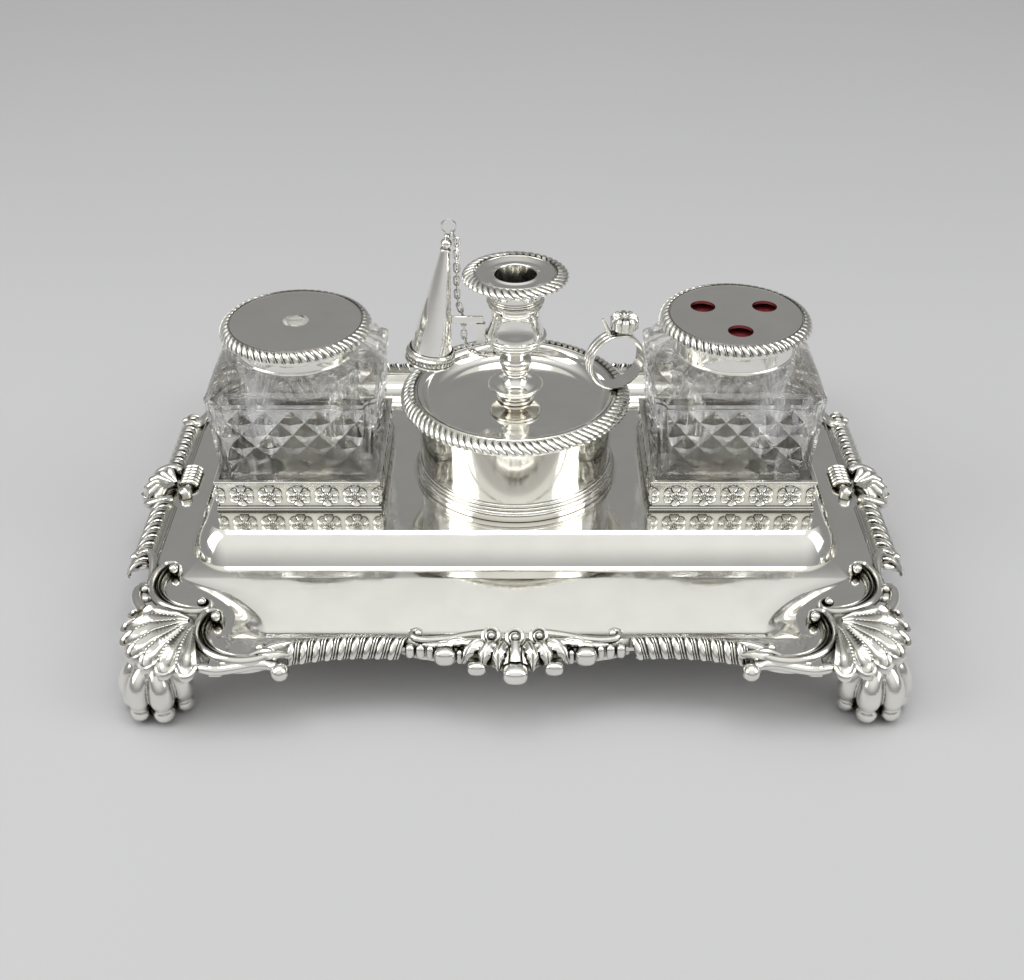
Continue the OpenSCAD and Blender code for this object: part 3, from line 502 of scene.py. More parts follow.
def leaf(
        path: Sequence[Vector], width: float, height: float, lobes: int,
        curl: float = 0.0) -> Shape:
    """Chased leaf along a path, with a grooved middle and lobed edges.

    Args:
        path: Points along the middle of the leaf.
        width: Half width at its widest.
        height: Height of its crown.
        lobes: Lobes along each edge.
        curl: How far the edges turn down.

    Returns:
        The shape.
    """
    across = [i / 6 for i in range(-6, 7)]

    def section(t: float) -> list[Pair]:
        """Section at a share of the leaf.

        Args:
            t: Share of the length.

        Returns:
            Points of the section.
        """
        envelope = math.sin(math.pi * min(1, 0.12 + 0.88 * t) ** 0.8) ** 0.7 if t < 1 else 0.02
        edge = 1 - 0.22 * abs(math.cos(math.pi * lobes * t)) ** 2
        w = max(0.05, width * envelope * edge)
        h = max(0.05, height * (0.35 + 0.65 * envelope))
        top = []
        for u in across:
            vein = 0.35 * bump(u, 0, 0.14) + 0.16 * math.cos(math.pi * lobes * t + 3 * abs(
                u)) * abs(u)
            top.append((u * w, h * (1 - 0.55 * u * u - vein) - curl * u * u))
        return top + [(w * 0.9, -0.5), (-w * 0.9, -0.5)]

    return swept(path, section)


def heightfield(
        outline: Callable[[float], float], height: Callable[[float, float], float], around: int,
        rings: int, base: float) -> Shape:
    """Round relief on a flat back.

    Args:
        outline: Radius at an angle in degrees.
        height: Height at a share of that radius and an angle.
        around: Steps round it.
        rings: Steps outwards.
        base: Height of its back.

    Returns:
        The closed shape.
    """
    shape = Shape([Vector((0, 0, height(0, 0)))])
    angles = [360 * i / around for i in range(around)]
    for k in range(1, rings + 1):
        for a in angles:
            x, y = polar(outline(a) * k / rings, a)
            shape.points.append(Vector((x, y, height(k / rings, a))))
    for a in angles:
        x, y = polar(outline(a), a)
        shape.points.append(Vector((x, y, base)))
    for i in range(around):
        j = (i + 1) % around
        shape.faces.append((0, 1 + i, 1 + j))
        for k in range(rings):
            low, high = 1 + k * around, 1 + (k + 1) * around
            shape.faces.append((low + i, high + i, high + j, low + j))
    shape.faces.append(tuple(reversed(range(1 + rings * around, 1 + (rings + 1) * around))))
    return shape


# ---- finishes


class ShaderTree:
    """Shader nodes and the links between them."""

    def __init__(self, tree: bpy.types.NodeTree) -> None:
        """Takes the tree to build in."""
        self.nodes, self.links = tree.nodes, tree.links

    def spread(self, value: Socket, source: Pair, target: Pair, step: str = "LINEAR") -> Socket:
        """Maps a value from one range to another.

        Args:
            value: The value.
            source: Range that it comes from.
            target: Range that it goes to.
            step: Kind of step between the ends.

        Returns:
            The mapped value.
        """
        node = self.nodes.new("ShaderNodeMapRange")
        node.interpolation_type = step
        node.inputs["From Min"].default_value, node.inputs["From Max"].default_value = source
        node.inputs["To Min"].default_value, node.inputs["To Max"].default_value = target
        self.links.new(value, node.inputs["Value"])
        return node.outputs["Result"]

    def blend(self, share: Socket, low: Colour, high: Colour) -> Socket:
        """Mixes two colours by a share.

        Args:
            share: Socket of the share.
            low: Colour at 0.
            high: Colour at 1.

        Returns:
            Socket of the colour.
        """
        node = self.nodes.new("ShaderNodeMix")
        node.data_type = "RGBA"
        node.inputs[6].default_value = (*low, 1)
        node.inputs[7].default_value = (*high, 1)
        self.links.new(share, node.inputs[0])
        return node.outputs[2]


class NodeMaterial(ShaderTree):
    """A material and the nodes that it is built from."""

    def __init__(self, name: str) -> None:
        """Starts a material with a lone surface shader.

        Args:
            name: Name of the material.
        """
        self.material = bpy.data.materials.new(name)
        self.material.use_nodes = True
        super().__init__(self.material.node_tree)
        self.shader = self.nodes["Principled BSDF"]
        self.where = self.nodes.new("ShaderNodeTexCoord").outputs["Object"]

    def noise(
            self, scale: float, detail: float = 4, stretch: Sequence[float] = (1, 1, 1)) -> Socket:
        """Noise over the piece, in turns per metre.

        Args:
            scale: Scale of the noise.
            detail: Octaves of finer noise.
            stretch: Scale along each axis.

        Returns:
            The value socket.
        """
        mapping = self.nodes.new("ShaderNodeMapping")
        mapping.inputs["Scale"].default_value = stretch
        texture = self.nodes.new("ShaderNodeTexNoise")
        texture.inputs["Scale"].default_value = scale
        texture.inputs["Detail"].default_value = detail
        self.links.new(self.where, mapping.inputs["Vector"])
        self.links.new(mapping.outputs["Vector"], texture.inputs["Vector"])
        return texture.outputs["Fac"]

    def product(self, a: Socket, b: Socket) -> Socket:
        """Multiplies two values.

        Args:
            a: One socket.
            b: The other socket.

        Returns:
            Socket of the product.
        """
        node = self.nodes.new("ShaderNodeMath")
        node.operation = "MULTIPLY"
        self.links.new(a, node.inputs[0])
        self.links.new(b, node.inputs[1])
        return node.outputs[0]

    def recess(self, reach: float) -> Socket:
        """Openness of each spot within a reach in millimetres: 0 in hollows, 1 in the open.

        Args:
            reach: The reach.

        Returns:
            Socket of the openness.
        """
        node = self.nodes.new("ShaderNodeAmbientOcclusion")
        node.samples = 8
        node.inputs["Distance"].default_value = reach * MM
        return node.outputs["AO"]

    def raised(self, value: Socket, height: float, strength: float) -> None:
        """Bumps the surface by a value.

        Args:
            value: Height of each spot, from 0 to 1.
            height: Full height in millimetres.
            strength: Share of the bump that shows.
        """
        node = self.nodes.new("ShaderNodeBump")
        node.inputs["Strength"].default_value = strength
        node.inputs["Distance"].default_value = height * MM
        self.links.new(value, node.inputs["Height"])
        self.links.new(node.outputs["Normal"], self.shader.inputs["Normal"])


@dataclass(frozen=True)
class SilverFinish:
    """Silver whose roughness varies with wear, its colour darkened in its hollows towards a dark
    colour: partly the tarnish that silver keeps there, partly painted shade.
    """

    name: str
    bright: Colour
    # Colour that the hollows are darkened to: tarnish, and painted shade.
    tarnish_and_shade: Colour
    gloss: Pair
    reach: float
    depth: Pair
    ripple: float

    def build(self) -> bpy.types.Material:
        """Builds the material.

        Returns:
            The material.
        """
        made = NodeMaterial(self.name)
        shader = made.shader
        shader.inputs["Metallic"].default_value = 1.0
        # Painted shade with some tarnish: ambient occlusion darkens the hollows towards the dark
        # colour.
        lit_untarnished_share = made.spread(made.recess(self.reach), self.depth, (0, 1))
        cloud = made.spread(made.noise(55, 3), (0.35, 0.7), (0.9, 1.0))
        made.links.new(
            made.blend(made.product(lit_untarnished_share, cloud), self.tarnish_and_shade, self.bright),
            shader.inputs["Base Color"])
        wear = made.noise(140, 6, (1, 2.2, 1))
        made.links.new(made.spread(wear, (0.3, 0.75), self.gloss), shader.inputs["Roughness"])
        made.raised(made.noise(300, 2), self.ripple, 0.5)
        return made.material


@dataclass(frozen=True)
class GlassFinish:
    """Clear lead glass with soft waves left by the cutting wheel."""

    name: str
    tint: Colour
    bend: float
    ripple: float
    body: float

    def build(self) -> bpy.types.Material:
        """Builds the material.

        Returns:
            The material.
        """
        made = NodeMaterial(self.name)
        shader = made.shader
        shader.inputs["Transmission Weight"].default_value = 1.0
        shader.inputs["IOR"].default_value = self.bend
        shader.inputs["Alpha"].default_value = self.body
        waves = made.noise(90, 1)
        made.links.new(
            made.blend(waves, tuple(c * 0.985 for c in self.tint), self.tint),
            shader.inputs["Base Color"])
        made.links.new(made.spread(waves, (0.3, 0.7), (0.0, 0.012)), shader.inputs["Roughness"])
        made.raised(waves, self.ripple, 0.3)
        return made.material


@dataclass(frozen=True)
class LeatherFinish:
    """Dark dyed leather with a fine grain."""

    name: str
    light: Colour
    dark: Colour
    grain: float

    def build(self) -> bpy.types.Material:
        """Builds the material.

        Returns:
            The material.
        """
        made = NodeMaterial(self.name)
        cells = made.nodes.new("ShaderNodeTexVoronoi")
        cells.inputs["Scale"].default_value = self.grain
        made.links.new(made.where, cells.inputs["Vector"])
        pores = cells.outputs["Distance"]
        made.links.new(
            made.blend(made.spread(pores, (0.1, 0.6), (0, 1)), self.light, self.dark),
            made.shader.inputs["Base Color"])
        made.links.new(
            made.spread(made.noise(400), (0.3, 0.7), (0.55, 0.75)), made.shader.inputs["Roughness"])
        made.raised(pores, 0.15, 0.6)
        return made.material


# The second colour of each silver is what its hollows are darkened to: painted shade, with some
# tarnish.
FINISHES = {
    Finish.POLISHED: SilverFinish(
        "polished_silver", (0.94, 0.93, 0.89), (0.46, 0.42, 0.35), (0.06, 0.15), 5.0, (0.1, 0.75),
        0.01),
    # The chased silver's near-black hollow colour is mostly painted shade, with some tarnish.
    Finish.CHASED: SilverFinish(
        "chased_silver", (0.93, 0.92, 0.87), (0.10, 0.088, 0.065), (0.12, 0.24), 4.6, (0.3, 0.93),
        0.015),
    Finish.GLASS: GlassFinish("cut_glass", (0.985, 0.995, 0.99), 1.5, 0.02, 0.6),
    Finish.LEATHER: LeatherFinish("red_leather", (0.30, 0.025, 0.03), (0.12, 0.01, 0.012), 1400)}


# ---- repeats


@dataclass
class Row:
    """Copies of an item along a path: x points out of the path, y along it and z up."""

    path: Sequence[Vector]
    item: Shape
    count: int
    looped: bool = False
    upright: bool = True


class Repeater:
    """Node tree that adds a row of copies to a piece and gives it its finish."""

    def __init__(self) -> None:
        """Builds the tree with its named inputs."""
        tree = bpy.data.node_groups.new("row_of_copies", "GeometryNodeTree")
        self.tree = tree
        for name, kind in (
                ("Geometry", "Geometry"), ("Path", "Object"), ("Item", "Object"), ("Count", "Int"),
                ("Finish", "Material")):
            tree.interface.new_socket(name, in_out="INPUT", socket_type=f"NodeSocket{kind}")
        tree.interface.new_socket("Geometry", in_out="OUTPUT", socket_type="NodeSocketGeometry")
        self.ids = {s.name: s.identifier for s in tree.interface.items_tree if s.in_out == "INPUT"}
        new, link = tree.nodes.new, tree.links.new
        given, result = new("NodeGroupInput").outputs, new("NodeGroupOutput")
        path, item = new("GeometryNodeObjectInfo"), new("GeometryNodeObjectInfo")
        link(given["Path"], path.inputs["Object"])
        link(given["Item"], item.inputs["Object"])
        points = new("GeometryNodeCurveToPoints")
        points.mode = "COUNT"
        link(path.outputs["Geometry"], points.inputs["Curve"])
        link(given["Count"], points.inputs["Count"])
        quarter_turn = new("FunctionNodeEulerToRotation")
        quarter_turn.inputs["Euler"].default_value = (math.radians(90), 0, 0)
        upright = new("FunctionNodeRotateRotation")
        upright.rotation_space = "LOCAL"
        link(points.outputs["Rotation"], upright.inputs["Rotation"])
        link(quarter_turn.outputs["Rotation"], upright.inputs["Rotate By"])
        copies = new("GeometryNodeInstanceOnPoints")
        link(points.outputs["Points"], copies.inputs["Points"])
        link(item.outputs["Geometry"], copies.inputs["Instance"])
        link(upright.outputs["Rotation"], copies.inputs["Rotation"])
        real = new("GeometryNodeRealizeInstances")
        link(copies.outputs["Instances"], real.inputs["Geometry"])
        joined = new("GeometryNodeJoinGeometry")
        link(real.outputs["Geometry"], joined.inputs["Geometry"])
        link(given["Geometry"], joined.inputs["Geometry"])
        finish = new("GeometryNodeSetMaterial")
        link(joined.outputs["Geometry"], finish.inputs["Geometry"])
        link(given["Finish"], finish.inputs["Material"])
        link(finish.outputs["Geometry"], result.inputs["Geometry"])

    def add(self, piece: bpy.types.Object, row: Row, finish: bpy.types.Material) -> None:
        """Adds a row of copies to a piece's mesh.

        Args:
            piece: The piece, with a mesh.
            row: The copies to add.
            finish: Material of the result.
        """
        curve = bpy.data.curves.new("path", "CURVE")
        curve.dimensions = "3D"
        curve.twist_mode = "Z_UP" if row.upright else "MINIMUM"
        spline = curve.splines.new("POLY")
        spline.points.add(len(row.path) - 1)
        for knot, place in zip(spline.points, row.path):
            knot.co = (*(place * MM), 1)
        spline.use_cyclic_u = row.looped
        path = new_object("path", curve)
        item = new_object("item", new_mesh("item", row.item))
        modifier = piece.modifiers.new("row", "NODES")
        modifier.node_group = self.tree
        values = {"Path": path, "Item": item, "Count": row.count, "Finish": finish}
        for name, value in values.items():
            modifier[self.ids[name]] = value
        settle(piece)
        for helper in (path, item):
            bpy.data.objects.remove(helper)


def new_object(name: str, data: bpy.types.ID) -> bpy.types.Object:
    """Makes an object and links it to the scene.

    Args:
        name: Name of the object.
        data: Its mesh, curve, lamp or camera.

    Returns:
        The object.
    """
    made = bpy.data.objects.new(name, data)
    bpy.context.scene.collection.objects.link(made)
    return made


def new_mesh(name: str, shape: Shape, weld: bool = False) -> bpy.types.Mesh:
    """Makes a mesh in metres with its faces outwards.

    Args:
        name: Name of the mesh.
        shape: Shape in millimetres.
        weld: Whether points that meet become one.

    Returns:
        The mesh.
    """
    mesh = bpy.data.meshes.new(name)
    mesh.from_pydata([p * MM for p in shape.points], [], shape.faces)
    work = bmesh.new()
    work.from_mesh(mesh)
    if weld:
        bmesh.ops.remove_doubles(work, verts=work.verts, dist=WELD * MM)
    bmesh.ops.recalc_face_normals(work, faces=work.faces)
    work.to_mesh(mesh)
    work.free()
    return mesh


def settle(piece: bpy.types.Object) -> None:
    """Applies a piece's modifiers to its mesh.

    Args:
        piece: The piece.
    """
    graph = bpy.context.evaluated_depsgraph_get()
    graph.update()
    made = bpy.data.meshes.new_from_object(piece.evaluated_get(graph), depsgraph=graph)
    piece.modifiers.clear()
    old, piece.data = piece.data, made
    made.name = piece.name
    bpy.data.meshes.remove(old)


@dataclass
class Workshop:
    """Makes finished pieces, seats them on their bodies and reports them."""

    repeater: Repeater
    finishes: dict[Finish, bpy.types.Material]
    made: int = 0

    def piece(
            self, name: str, shape: Shape, finish: Finish, body: Body, *nodes: str,
            rows: Sequence[Row] = (), crease: float = 35.0, weld: bool = False, wall: float = 0.0,
            grain: float = 0.0,
            bend: tuple[Body, Vector, Vector] | None = None) -> bpy.types.Object:
        """Makes one piece that stands for nodes of the construction.

        Args:
            name: Name of the piece.
            shape: Its shape in millimetres.
            finish: Its finish.
            body: The body that it rides on.
            nodes: The nodes that it replaces.
            rows: Rows of copies on it.
            crease: Angle in degrees past which an edge stays crisp.
            weld: Whether points that meet become one.
            wall: Thickness given to an open sheet, inwards.
            grain: Cell size of a remesh that melts solids into one, or none.
            bend: If given, the piece rides on no body and its points are fixed where they stand;
                the body and the two points that it holds are not used. Or none.

        Returns:
            The finished object.
        """
        piece = new_object(name, new_mesh(name, shape, weld))
        material = self.finishes[finish]
        piece.data.materials.append(material)
        if wall:
            solid = piece.modifiers.new("wall", "SOLIDIFY")
            solid.thickness, solid.offset = wall * MM, -1
            settle(piece)
        if grain:
            melt = piece.modifiers.new("melt", "REMESH")
            melt.mode, melt.voxel_size = "VOXEL", grain * MM
            soft = piece.modifiers.new("soft", "SMOOTH")
            soft.factor, soft.iterations = 0.5, 3
            settle(piece)
        for row in rows:
            self.repeater.add(piece, row, material)
        piece.data.materials.clear()
        piece.data.materials.append(material)
        piece.data.shade_smooth()
        piece.data.set_sharp_from_angle(angle=math.radians(crease))
        if bend:
            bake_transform(piece)
        else:
            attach(piece, body.value)
        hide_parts(*nodes)
        self.made += 1
        LOG.info(
            "%s: %d faces on %s, for %s", name, len(piece.data.polygons), body.value,
            ", ".join(nodes))
        return piece


# ---- frame


def box(node: str) -> tuple[Vector, Vector]:
    """Lowest and highest corner of a node in millimetres."""
    low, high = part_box(node)
    return low / MM, high / MM


@dataclass(frozen=True)
class Layout:
    """Levels and places that several pieces share, read off the frame."""

    foot_top: float
    ledge: float
    deck: float
    seat: float
    well_x: float
    gallery_half: float
    gallery_top: float
    border_x: float
    border_y: float

    @classmethod
    def from_frame(cls, sheet: float) -> Layout:
        """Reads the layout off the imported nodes, for a tray sheet of a thickness.

        Args:
            sheet: The thickness.

        Returns:
            The layout.
        """
        paw, gallery, drum = box("paw_foot_rear_right"), box("right_gallery"), box("wafer_box")
        return cls(
            foot_top=paw[1].z, ledge=paw[1].z + sheet, deck=gallery[0].z, seat=drum[1].z,
            well_x=(gallery[0].x + gallery[1].x) / 2,
            gallery_half=(gallery[1].x - gallery[0].x) / 2, gallery_top=gallery[1].z,
            border_x=157.0, border_y=111.0)


SHEET = 1.6
QUARTERS = {
    "front_left": (-1, -1), "front_right": (1, -1), "rear_left": (-1, 1), "rear_right": (1, 1)}


# ---- tray


@dataclass
class TraySheet:
    """The tray's raised sheet: ledge, ramp, deck and two pen troughs."""

    layout: Layout
    corner_r: float = 8.0
    ramp_run: float = 9.0
    margin_x: float = 1.5
    deck_y: float = 48.0
    ridge_gap: float = 7.0
    trough_w: float = 38.0
    depth: float = 7.0
    taper: float = 26.0
    end_w: float = 11.5
    floor_share: float = 0.7
    waist: float = 56.0
    bow: float = 0.0045
    tuck: float = 4.0

    def __post_init__(self) -> None:
        """Works out the places that follow."""
        self.deck_x = self.layout.well_x + self.layout.gallery_half + self.margin_x
        self.ridge_y = self.deck_y + self.ramp_run + self.ridge_gap
        self.trough_y = self.ridge_y + self.trough_w
        self.rise = self.layout.deck - self.layout.ledge

    def ring(self, grow: float, z: float) -> list[Vector]:
        """Outline of the deck, with round corners.

        Args:
            grow: How far it is grown outwards.
            z: Its height.

        Returns:
            Points round the outline.
        """
        made = []
        r = self.corner_r + grow
        x, y = self.deck_x - self.corner_r, self.deck_y - self.corner_r
        for q, (sx, sy) in enumerate([(1, 1), (-1, 1), (-1, -1), (1, -1)]):
            for px, py in arc(sx * x, sy * y, r, 90 * q, 90 * q + 90, 10):
                made.append(Vector((px, py, z)))
        return made

    def rim_x(self, share: float) -> float:
        """Half length of a trough at a share of its width, from its ridge outwards."""
        return self.deck_x + self.ramp_run - self.taper * ease(1.3 * share ** 0.75)

    def sunk(self, share: float) -> float:
        """Depth of a trough's floor at a share of its width.

        Args:
            share: Share of the width.

        Returns:
            The depth.
        """
        if share < self.floor_share:
            return self.depth * (share / self.floor_share) ** 1.06
        s = (share - self.floor_share) / (1 - self.floor_share)
        return self.depth * math.sqrt(max(0.0, 1 - s ** 2.4))

    def trough(self, sy: float) -> tuple[Shape, list[Vector]]:
        """One pen trough.

        Args:
            sy: Side of the tray, -1 for the front.

        Returns:
            The open surface and its rim.
        """
        shares = [i / 36 for i in range(37)]
        ledge = self.layout.ledge
        rows = []
        for f in shares:
            y = sy * mix(self.ridge_y, self.trough_y, f)
            outer = self.rim_x(f)
            inner = outer - mix(1.2, self.end_w, ease(f / 0.25))
            floor = ledge - self.sunk(f)
            right = []
            for k in range(13):
                q = k / 12
                rise = q * (0.35 + 0.65 * q)
                right.append(Vector((mix(inner, outer, q), y, mix(floor, ledge, rise))))
            flat = [Vector((inner * u / 12, y, floor)) for u in range(-11, 12)]
            left = [Vector((-p.x, p.y, p.z)) for p in reversed(right)]
            rows.append(left + flat + right)
        rim = rows[0] + [row[-1] for row in rows[1:]] + rows[-1][-2::-1]
        rim += [row[0] for row in rows[-2:0:-1]]
        return sheet_of(rows), rim

    def edge(self) -> list[Pair]:
        """Outline of the ledge, hidden under the border and the corner ornaments.

        Returns:
            Points round the outline.
        """
        quarter = []
        for i in range(12):
            x = 84.5 * i / 11
            lift = self.bow * (max(x, 43.0) - self.waist) ** 2
            quarter.append((x, self.layout.border_y - self.tuck + lift))
        quarter += arc(102, 99, 15.5, 120, -12, 10)
        quarter += arc(125, 70, 15.5, 98, -28, 10)
        quarter += [(self.layout.border_x - self.tuck, y) for y in (50, 0)]
        outline = list(quarter)
        outline += [(x, -y) for x, y in reversed(quarter[:-1])]
        outline += [(-x, -y) for x, y in quarter[1:]]
        outline += [(-x, y) for x, y in reversed(quarter[1:-1])]
        return outline

    def build(self, shop: Workshop) -> None:
        """Builds the sheet.

        Args:
            shop: Makes the pieces.
        """
        levels = [i / 14 for i in range(15)]
        ramp = [
            self.ring(
                self.ramp_run * t, self.layout.ledge + self.rise * (1 - (0.35 * t + 0.65 * t * t)))
            for t in levels]
        shape = lofted(ramp, ends=False)
        shape.add(Shape(self.ring(0, self.layout.deck), [tuple(range(44))]))
        holes = [self.ring(self.ramp_run, self.layout.ledge)]
        for sy in (-1, 1):
            surface, rim = self.trough(sy)
            shape.add(surface)
            holes.append(rim)
        shape.add(pierced(self.edge(), holes, self.layout.ledge))
        shop.piece(
            "tray_sheet", shape, Finish.POLISHED, Body.TRAY, "tray_plate", weld=True, wall=SHEET,
            crease=20)


@dataclass
class GadroonBorder:
    """Gadroon border along one side of the tray, in two mirrored runs."""

    layout: Layout
    sheet: TraySheet
    cove: float = 2.4
    band: float = 6.6
    side_cove: float = 3.2
    side_band: float = 8.6
    side_out: float = 0.6
    crest: float = 3.8
    drop: float = 2.4
    pitch: float = 4.4
    lean: float = 4.2

    def base(self, c: float, b: float) -> list[Pair]:
        """Section under the lobes: out from the inner edge, and up.

        Args:
            c: Width of the cove.
            b: Width of the band.

        Returns:
            Points of the closed section.
        """
        h = self.crest
        lines = [
            (0, 0.02), (0.1, 0.6), (0.4, 0.75), (0.7, 0.55), (0.8, 0.3), (c * 0.6, 0.45),
            (c * 0.85, h * 0.4), (c + 0.4, h * 0.7)]
        under = [
            (c + b * 0.3, h * 0.72), (c + b * 0.62, h * 0.3), (c + b * 0.84, -self.drop * 0.45),
            (c + b * 0.84, -self.drop - 0.5), (c + b * 0.5, -self.drop - 0.2),
            (c + b * 0.4, -SHEET), (0.2, -SHEET)]
        return lines + under

    def lobe(self, c: float, b: float, wide: float, side: float, shift: float = 0.0) -> Shape:
        """One gadroon: x out, y along the border, z up.

        Args:
            c: Width of the cove inside it.
            b: Width of the band.
            wide: Half width of the lobe.
            side: Direction along the border in which its foot lies.
            shift: Place along the border.

        Returns:
            The closed shape.
        """
        h = self.crest
        out = [
            c - 0.3, c + 0.35, c + b * 0.2, c + b * 0.38, c + b * 0.58, c + b * 0.76, c + b * 0.88,
            c + b * 0.92, c + b * 0.84]
        up = [
            h * 0.35, h * 0.78, h * 0.9, h * 0.82, h * 0.55, h * 0.1, -h * 0.3, -h * 0.62,
            -h * 0.82]
        full = [0.25, 0.45, 0.68, 0.86, 1, 1.05, 1.02, 0.85, 0.3]
        rings = []
        last = len(out) - 1
        for i in range(len(out)):
            t = i / last
            a, z = max(0, i - 1), min(last, i + 1)
            ahead = Vector((out[z] - out[a], 0, up[z] - up[a])).normalized()
            normal = Vector((-ahead.z, 0, ahead.x))
            middle = Vector((out[i], side * self.lean * (t ** 0.8 - 0.5) + shift, up[i]))
            r = wide * full[i]
            rings.append([
                middle + Vector((0, x * r, 0)) + normal * y * (0.3 + 0.6 * r)
                for x, y in arc(0, 0, 1, 0, 324, 9)])
        return lofted(rings)

    def run(self, path: list[Vector], side: float, c: float, b: float) -> tuple[Shape, list[Row]]:
        """One run of gadroons.

        Args:
            path: The border's inner edge, with the tray on its left.
            side: Direction in which the feet of the lobes lie.
            c: Width of the cove.
            b: Width of the band.

        Returns:
            The moulding and its rows of lobes.
        """
        length = sum((q - p).length for p, q in zip(path, path[1:]))
        count = int(length // self.pitch)
        rows = [
            Row(path, self.lobe(c, b, wide, side, shift * self.pitch), count)
            for wide, shift in ((1.3, 0.0), (0.5, 0.38), (0.5, 0.62))]
        return swept(path, lambda t: self.base(c, b)), rows

    def side_path(self, sx: float, sy: float) -> list[Vector]:
        """Inner edge of the run in one half of a short side.

        Args:
            sx: Side of the tray, -1 or 1.
            sy: Half of that side, -1 or 1.

        Returns:
            Points along the edge.
        """
        x = self.layout.border_x + self.side_out - self.side_cove - self.side_band
        ends = [Vector((sx * x, sy * y, self.layout.ledge)) for y in (14, 57)]
        return ends if sx * sy > 0 else ends[::-1]

    def long_path(self, sx: float, sy: float) -> list[Vector]:
        """Inner edge of the run in one half of a long side.

        Args:
            sx: Half of the side, -1 or 1.
            sy: Side of the tray, -1 or 1.

        Returns:
            Points along the edge.
        """
        made = []
        for i in range(17):
            x = mix(44.5, 85, i / 16)
            y = self.layout.border_y - self.cove - self.band + self.sheet.bow * (
                x - self.sheet.waist) ** 2
            made.append(Vector((sx * x, sy * y, self.layout.ledge)))
        return made if sx * sy < 0 else made[::-1]

    def build(self, shop: Workshop) -> None:
        """Builds the borders of the four sides.

        Args:
            shop: Makes the pieces.
        """
        for name, axis, sign in (
                ("front", 0, -1), ("rear", 0, 1), ("left", 1, -1), ("right", 1, 1)):
            cove, band = (self.side_cove, self.side_band) if axis else (self.cove, self.band)
            shape, rows = Shape(), []
            for end in (-1, 1):
                path = self.side_path(sign, end) if axis else self.long_path(end, sign)
                side = 1 if abs(path[-1][axis]) > abs(path[0][axis]) else -1
                part, made = self.run(path, side, cove, band)
                shape.add(part)
                rows += made
            shop.piece(
                f"gadroon_border_{name}", shape, Finish.CHASED, Body.TRAY, f"gadroon_{name}",
                rows=rows)


# ---- shells and scrolls


@dataclass
class Scroll:
    """C-scroll that narrows into a curl with a bead at each end."""

    centre: Pair
    start: float
    end: float
    outer: float = 21.0
    eye: float = 14.3
    width: float = 7.2
    height: float = 4.3
    turns: float = 165.0
    bead: float = 1.9
    curl_steps: int = 18

    def path(self, z: float) -> list[Vector]:
        """Outer edge of the scroll, from curl to curl.

        Args:
            z: Level of the points.

        Returns:
            Points along the edge.
        """
        cx, cy = self.centre
        steps = self.curl_steps

        def curl(angle: float, way: float) -> list[Pair]:
            """Points of a curl, from the scroll inwards.

            Args:
                angle: Where it leaves the scroll, in degrees.
                way: 1 to wind onwards, -1 back.

            Returns:
                The points.
            """
            made = []
            ex, ey = polar(self.eye, angle)
            for i in range(1, steps + 1):
                t = i / steps
                x, y = polar((self.outer - self.eye) * self.shrink(t), angle + way * self.turns * t)
                made.append((cx + ex + x, cy + ey + y))
            return made

        places = curl(self.start, -1)[::-1]
        places += arc(cx, cy, self.outer, self.start, self.end, 40)
        places += curl(self.end, 1)
        return [Vector((x, y, z)) for x, y in places]

    @staticmethod
    def shrink(t: float) -> float:
        """How far the curl has wound in at a share of its turn."""
        return mix(1, 0.42, ease(t) ** 0.8)

    def section(self, t: float) -> list[Pair]:
        """Section at a share of the whole length.

        Args:
            t: Share of the length.

        Returns:
            Points of the section.
        """
        swell = math.sin(math.pi * min(1, max(0, t))) ** 0.55
        w = max(0.7, self.width * (0.14 + 0.86 * swell))
        h = self.height * (0.72 + 0.28 * swell)
        share = [
            (0, -2 / h), (0.015, 0.35), (-0.03, 0.66), (-0.1, 0.88), (-0.2, 1), (-0.3, 1),
            (-0.4, 0.86), (-0.46, 0.62), (-0.5, 0.36), (-0.545, 0.34), (-0.585, 0.62), (-0.63, 0.7),
            (-0.675, 0.6), (-0.71, 0.3), (-0.75, 0.28), (-0.79, 0.5), (-0.84, 0.56), (-0.89, 0.46),
            (-0.93, 0.2), (-1, 0.12), (-1, -2 / h)]
        return [(a * w, b * h) for a, b in share]

    def build(self, z: float) -> Shape:
        """The band with its two beads, at a level.

        Args:
            z: The level.

        Returns:
            The band.
        """
        shape = swept(self.path(z), self.section)
        cx, cy = self.centre
        for angle in (self.start, self.end):
            x, y = polar(self.eye, angle)
            shape.add(ball((cx + x, cy + y, z + self.height * 0.72), self.bead))
        return shape


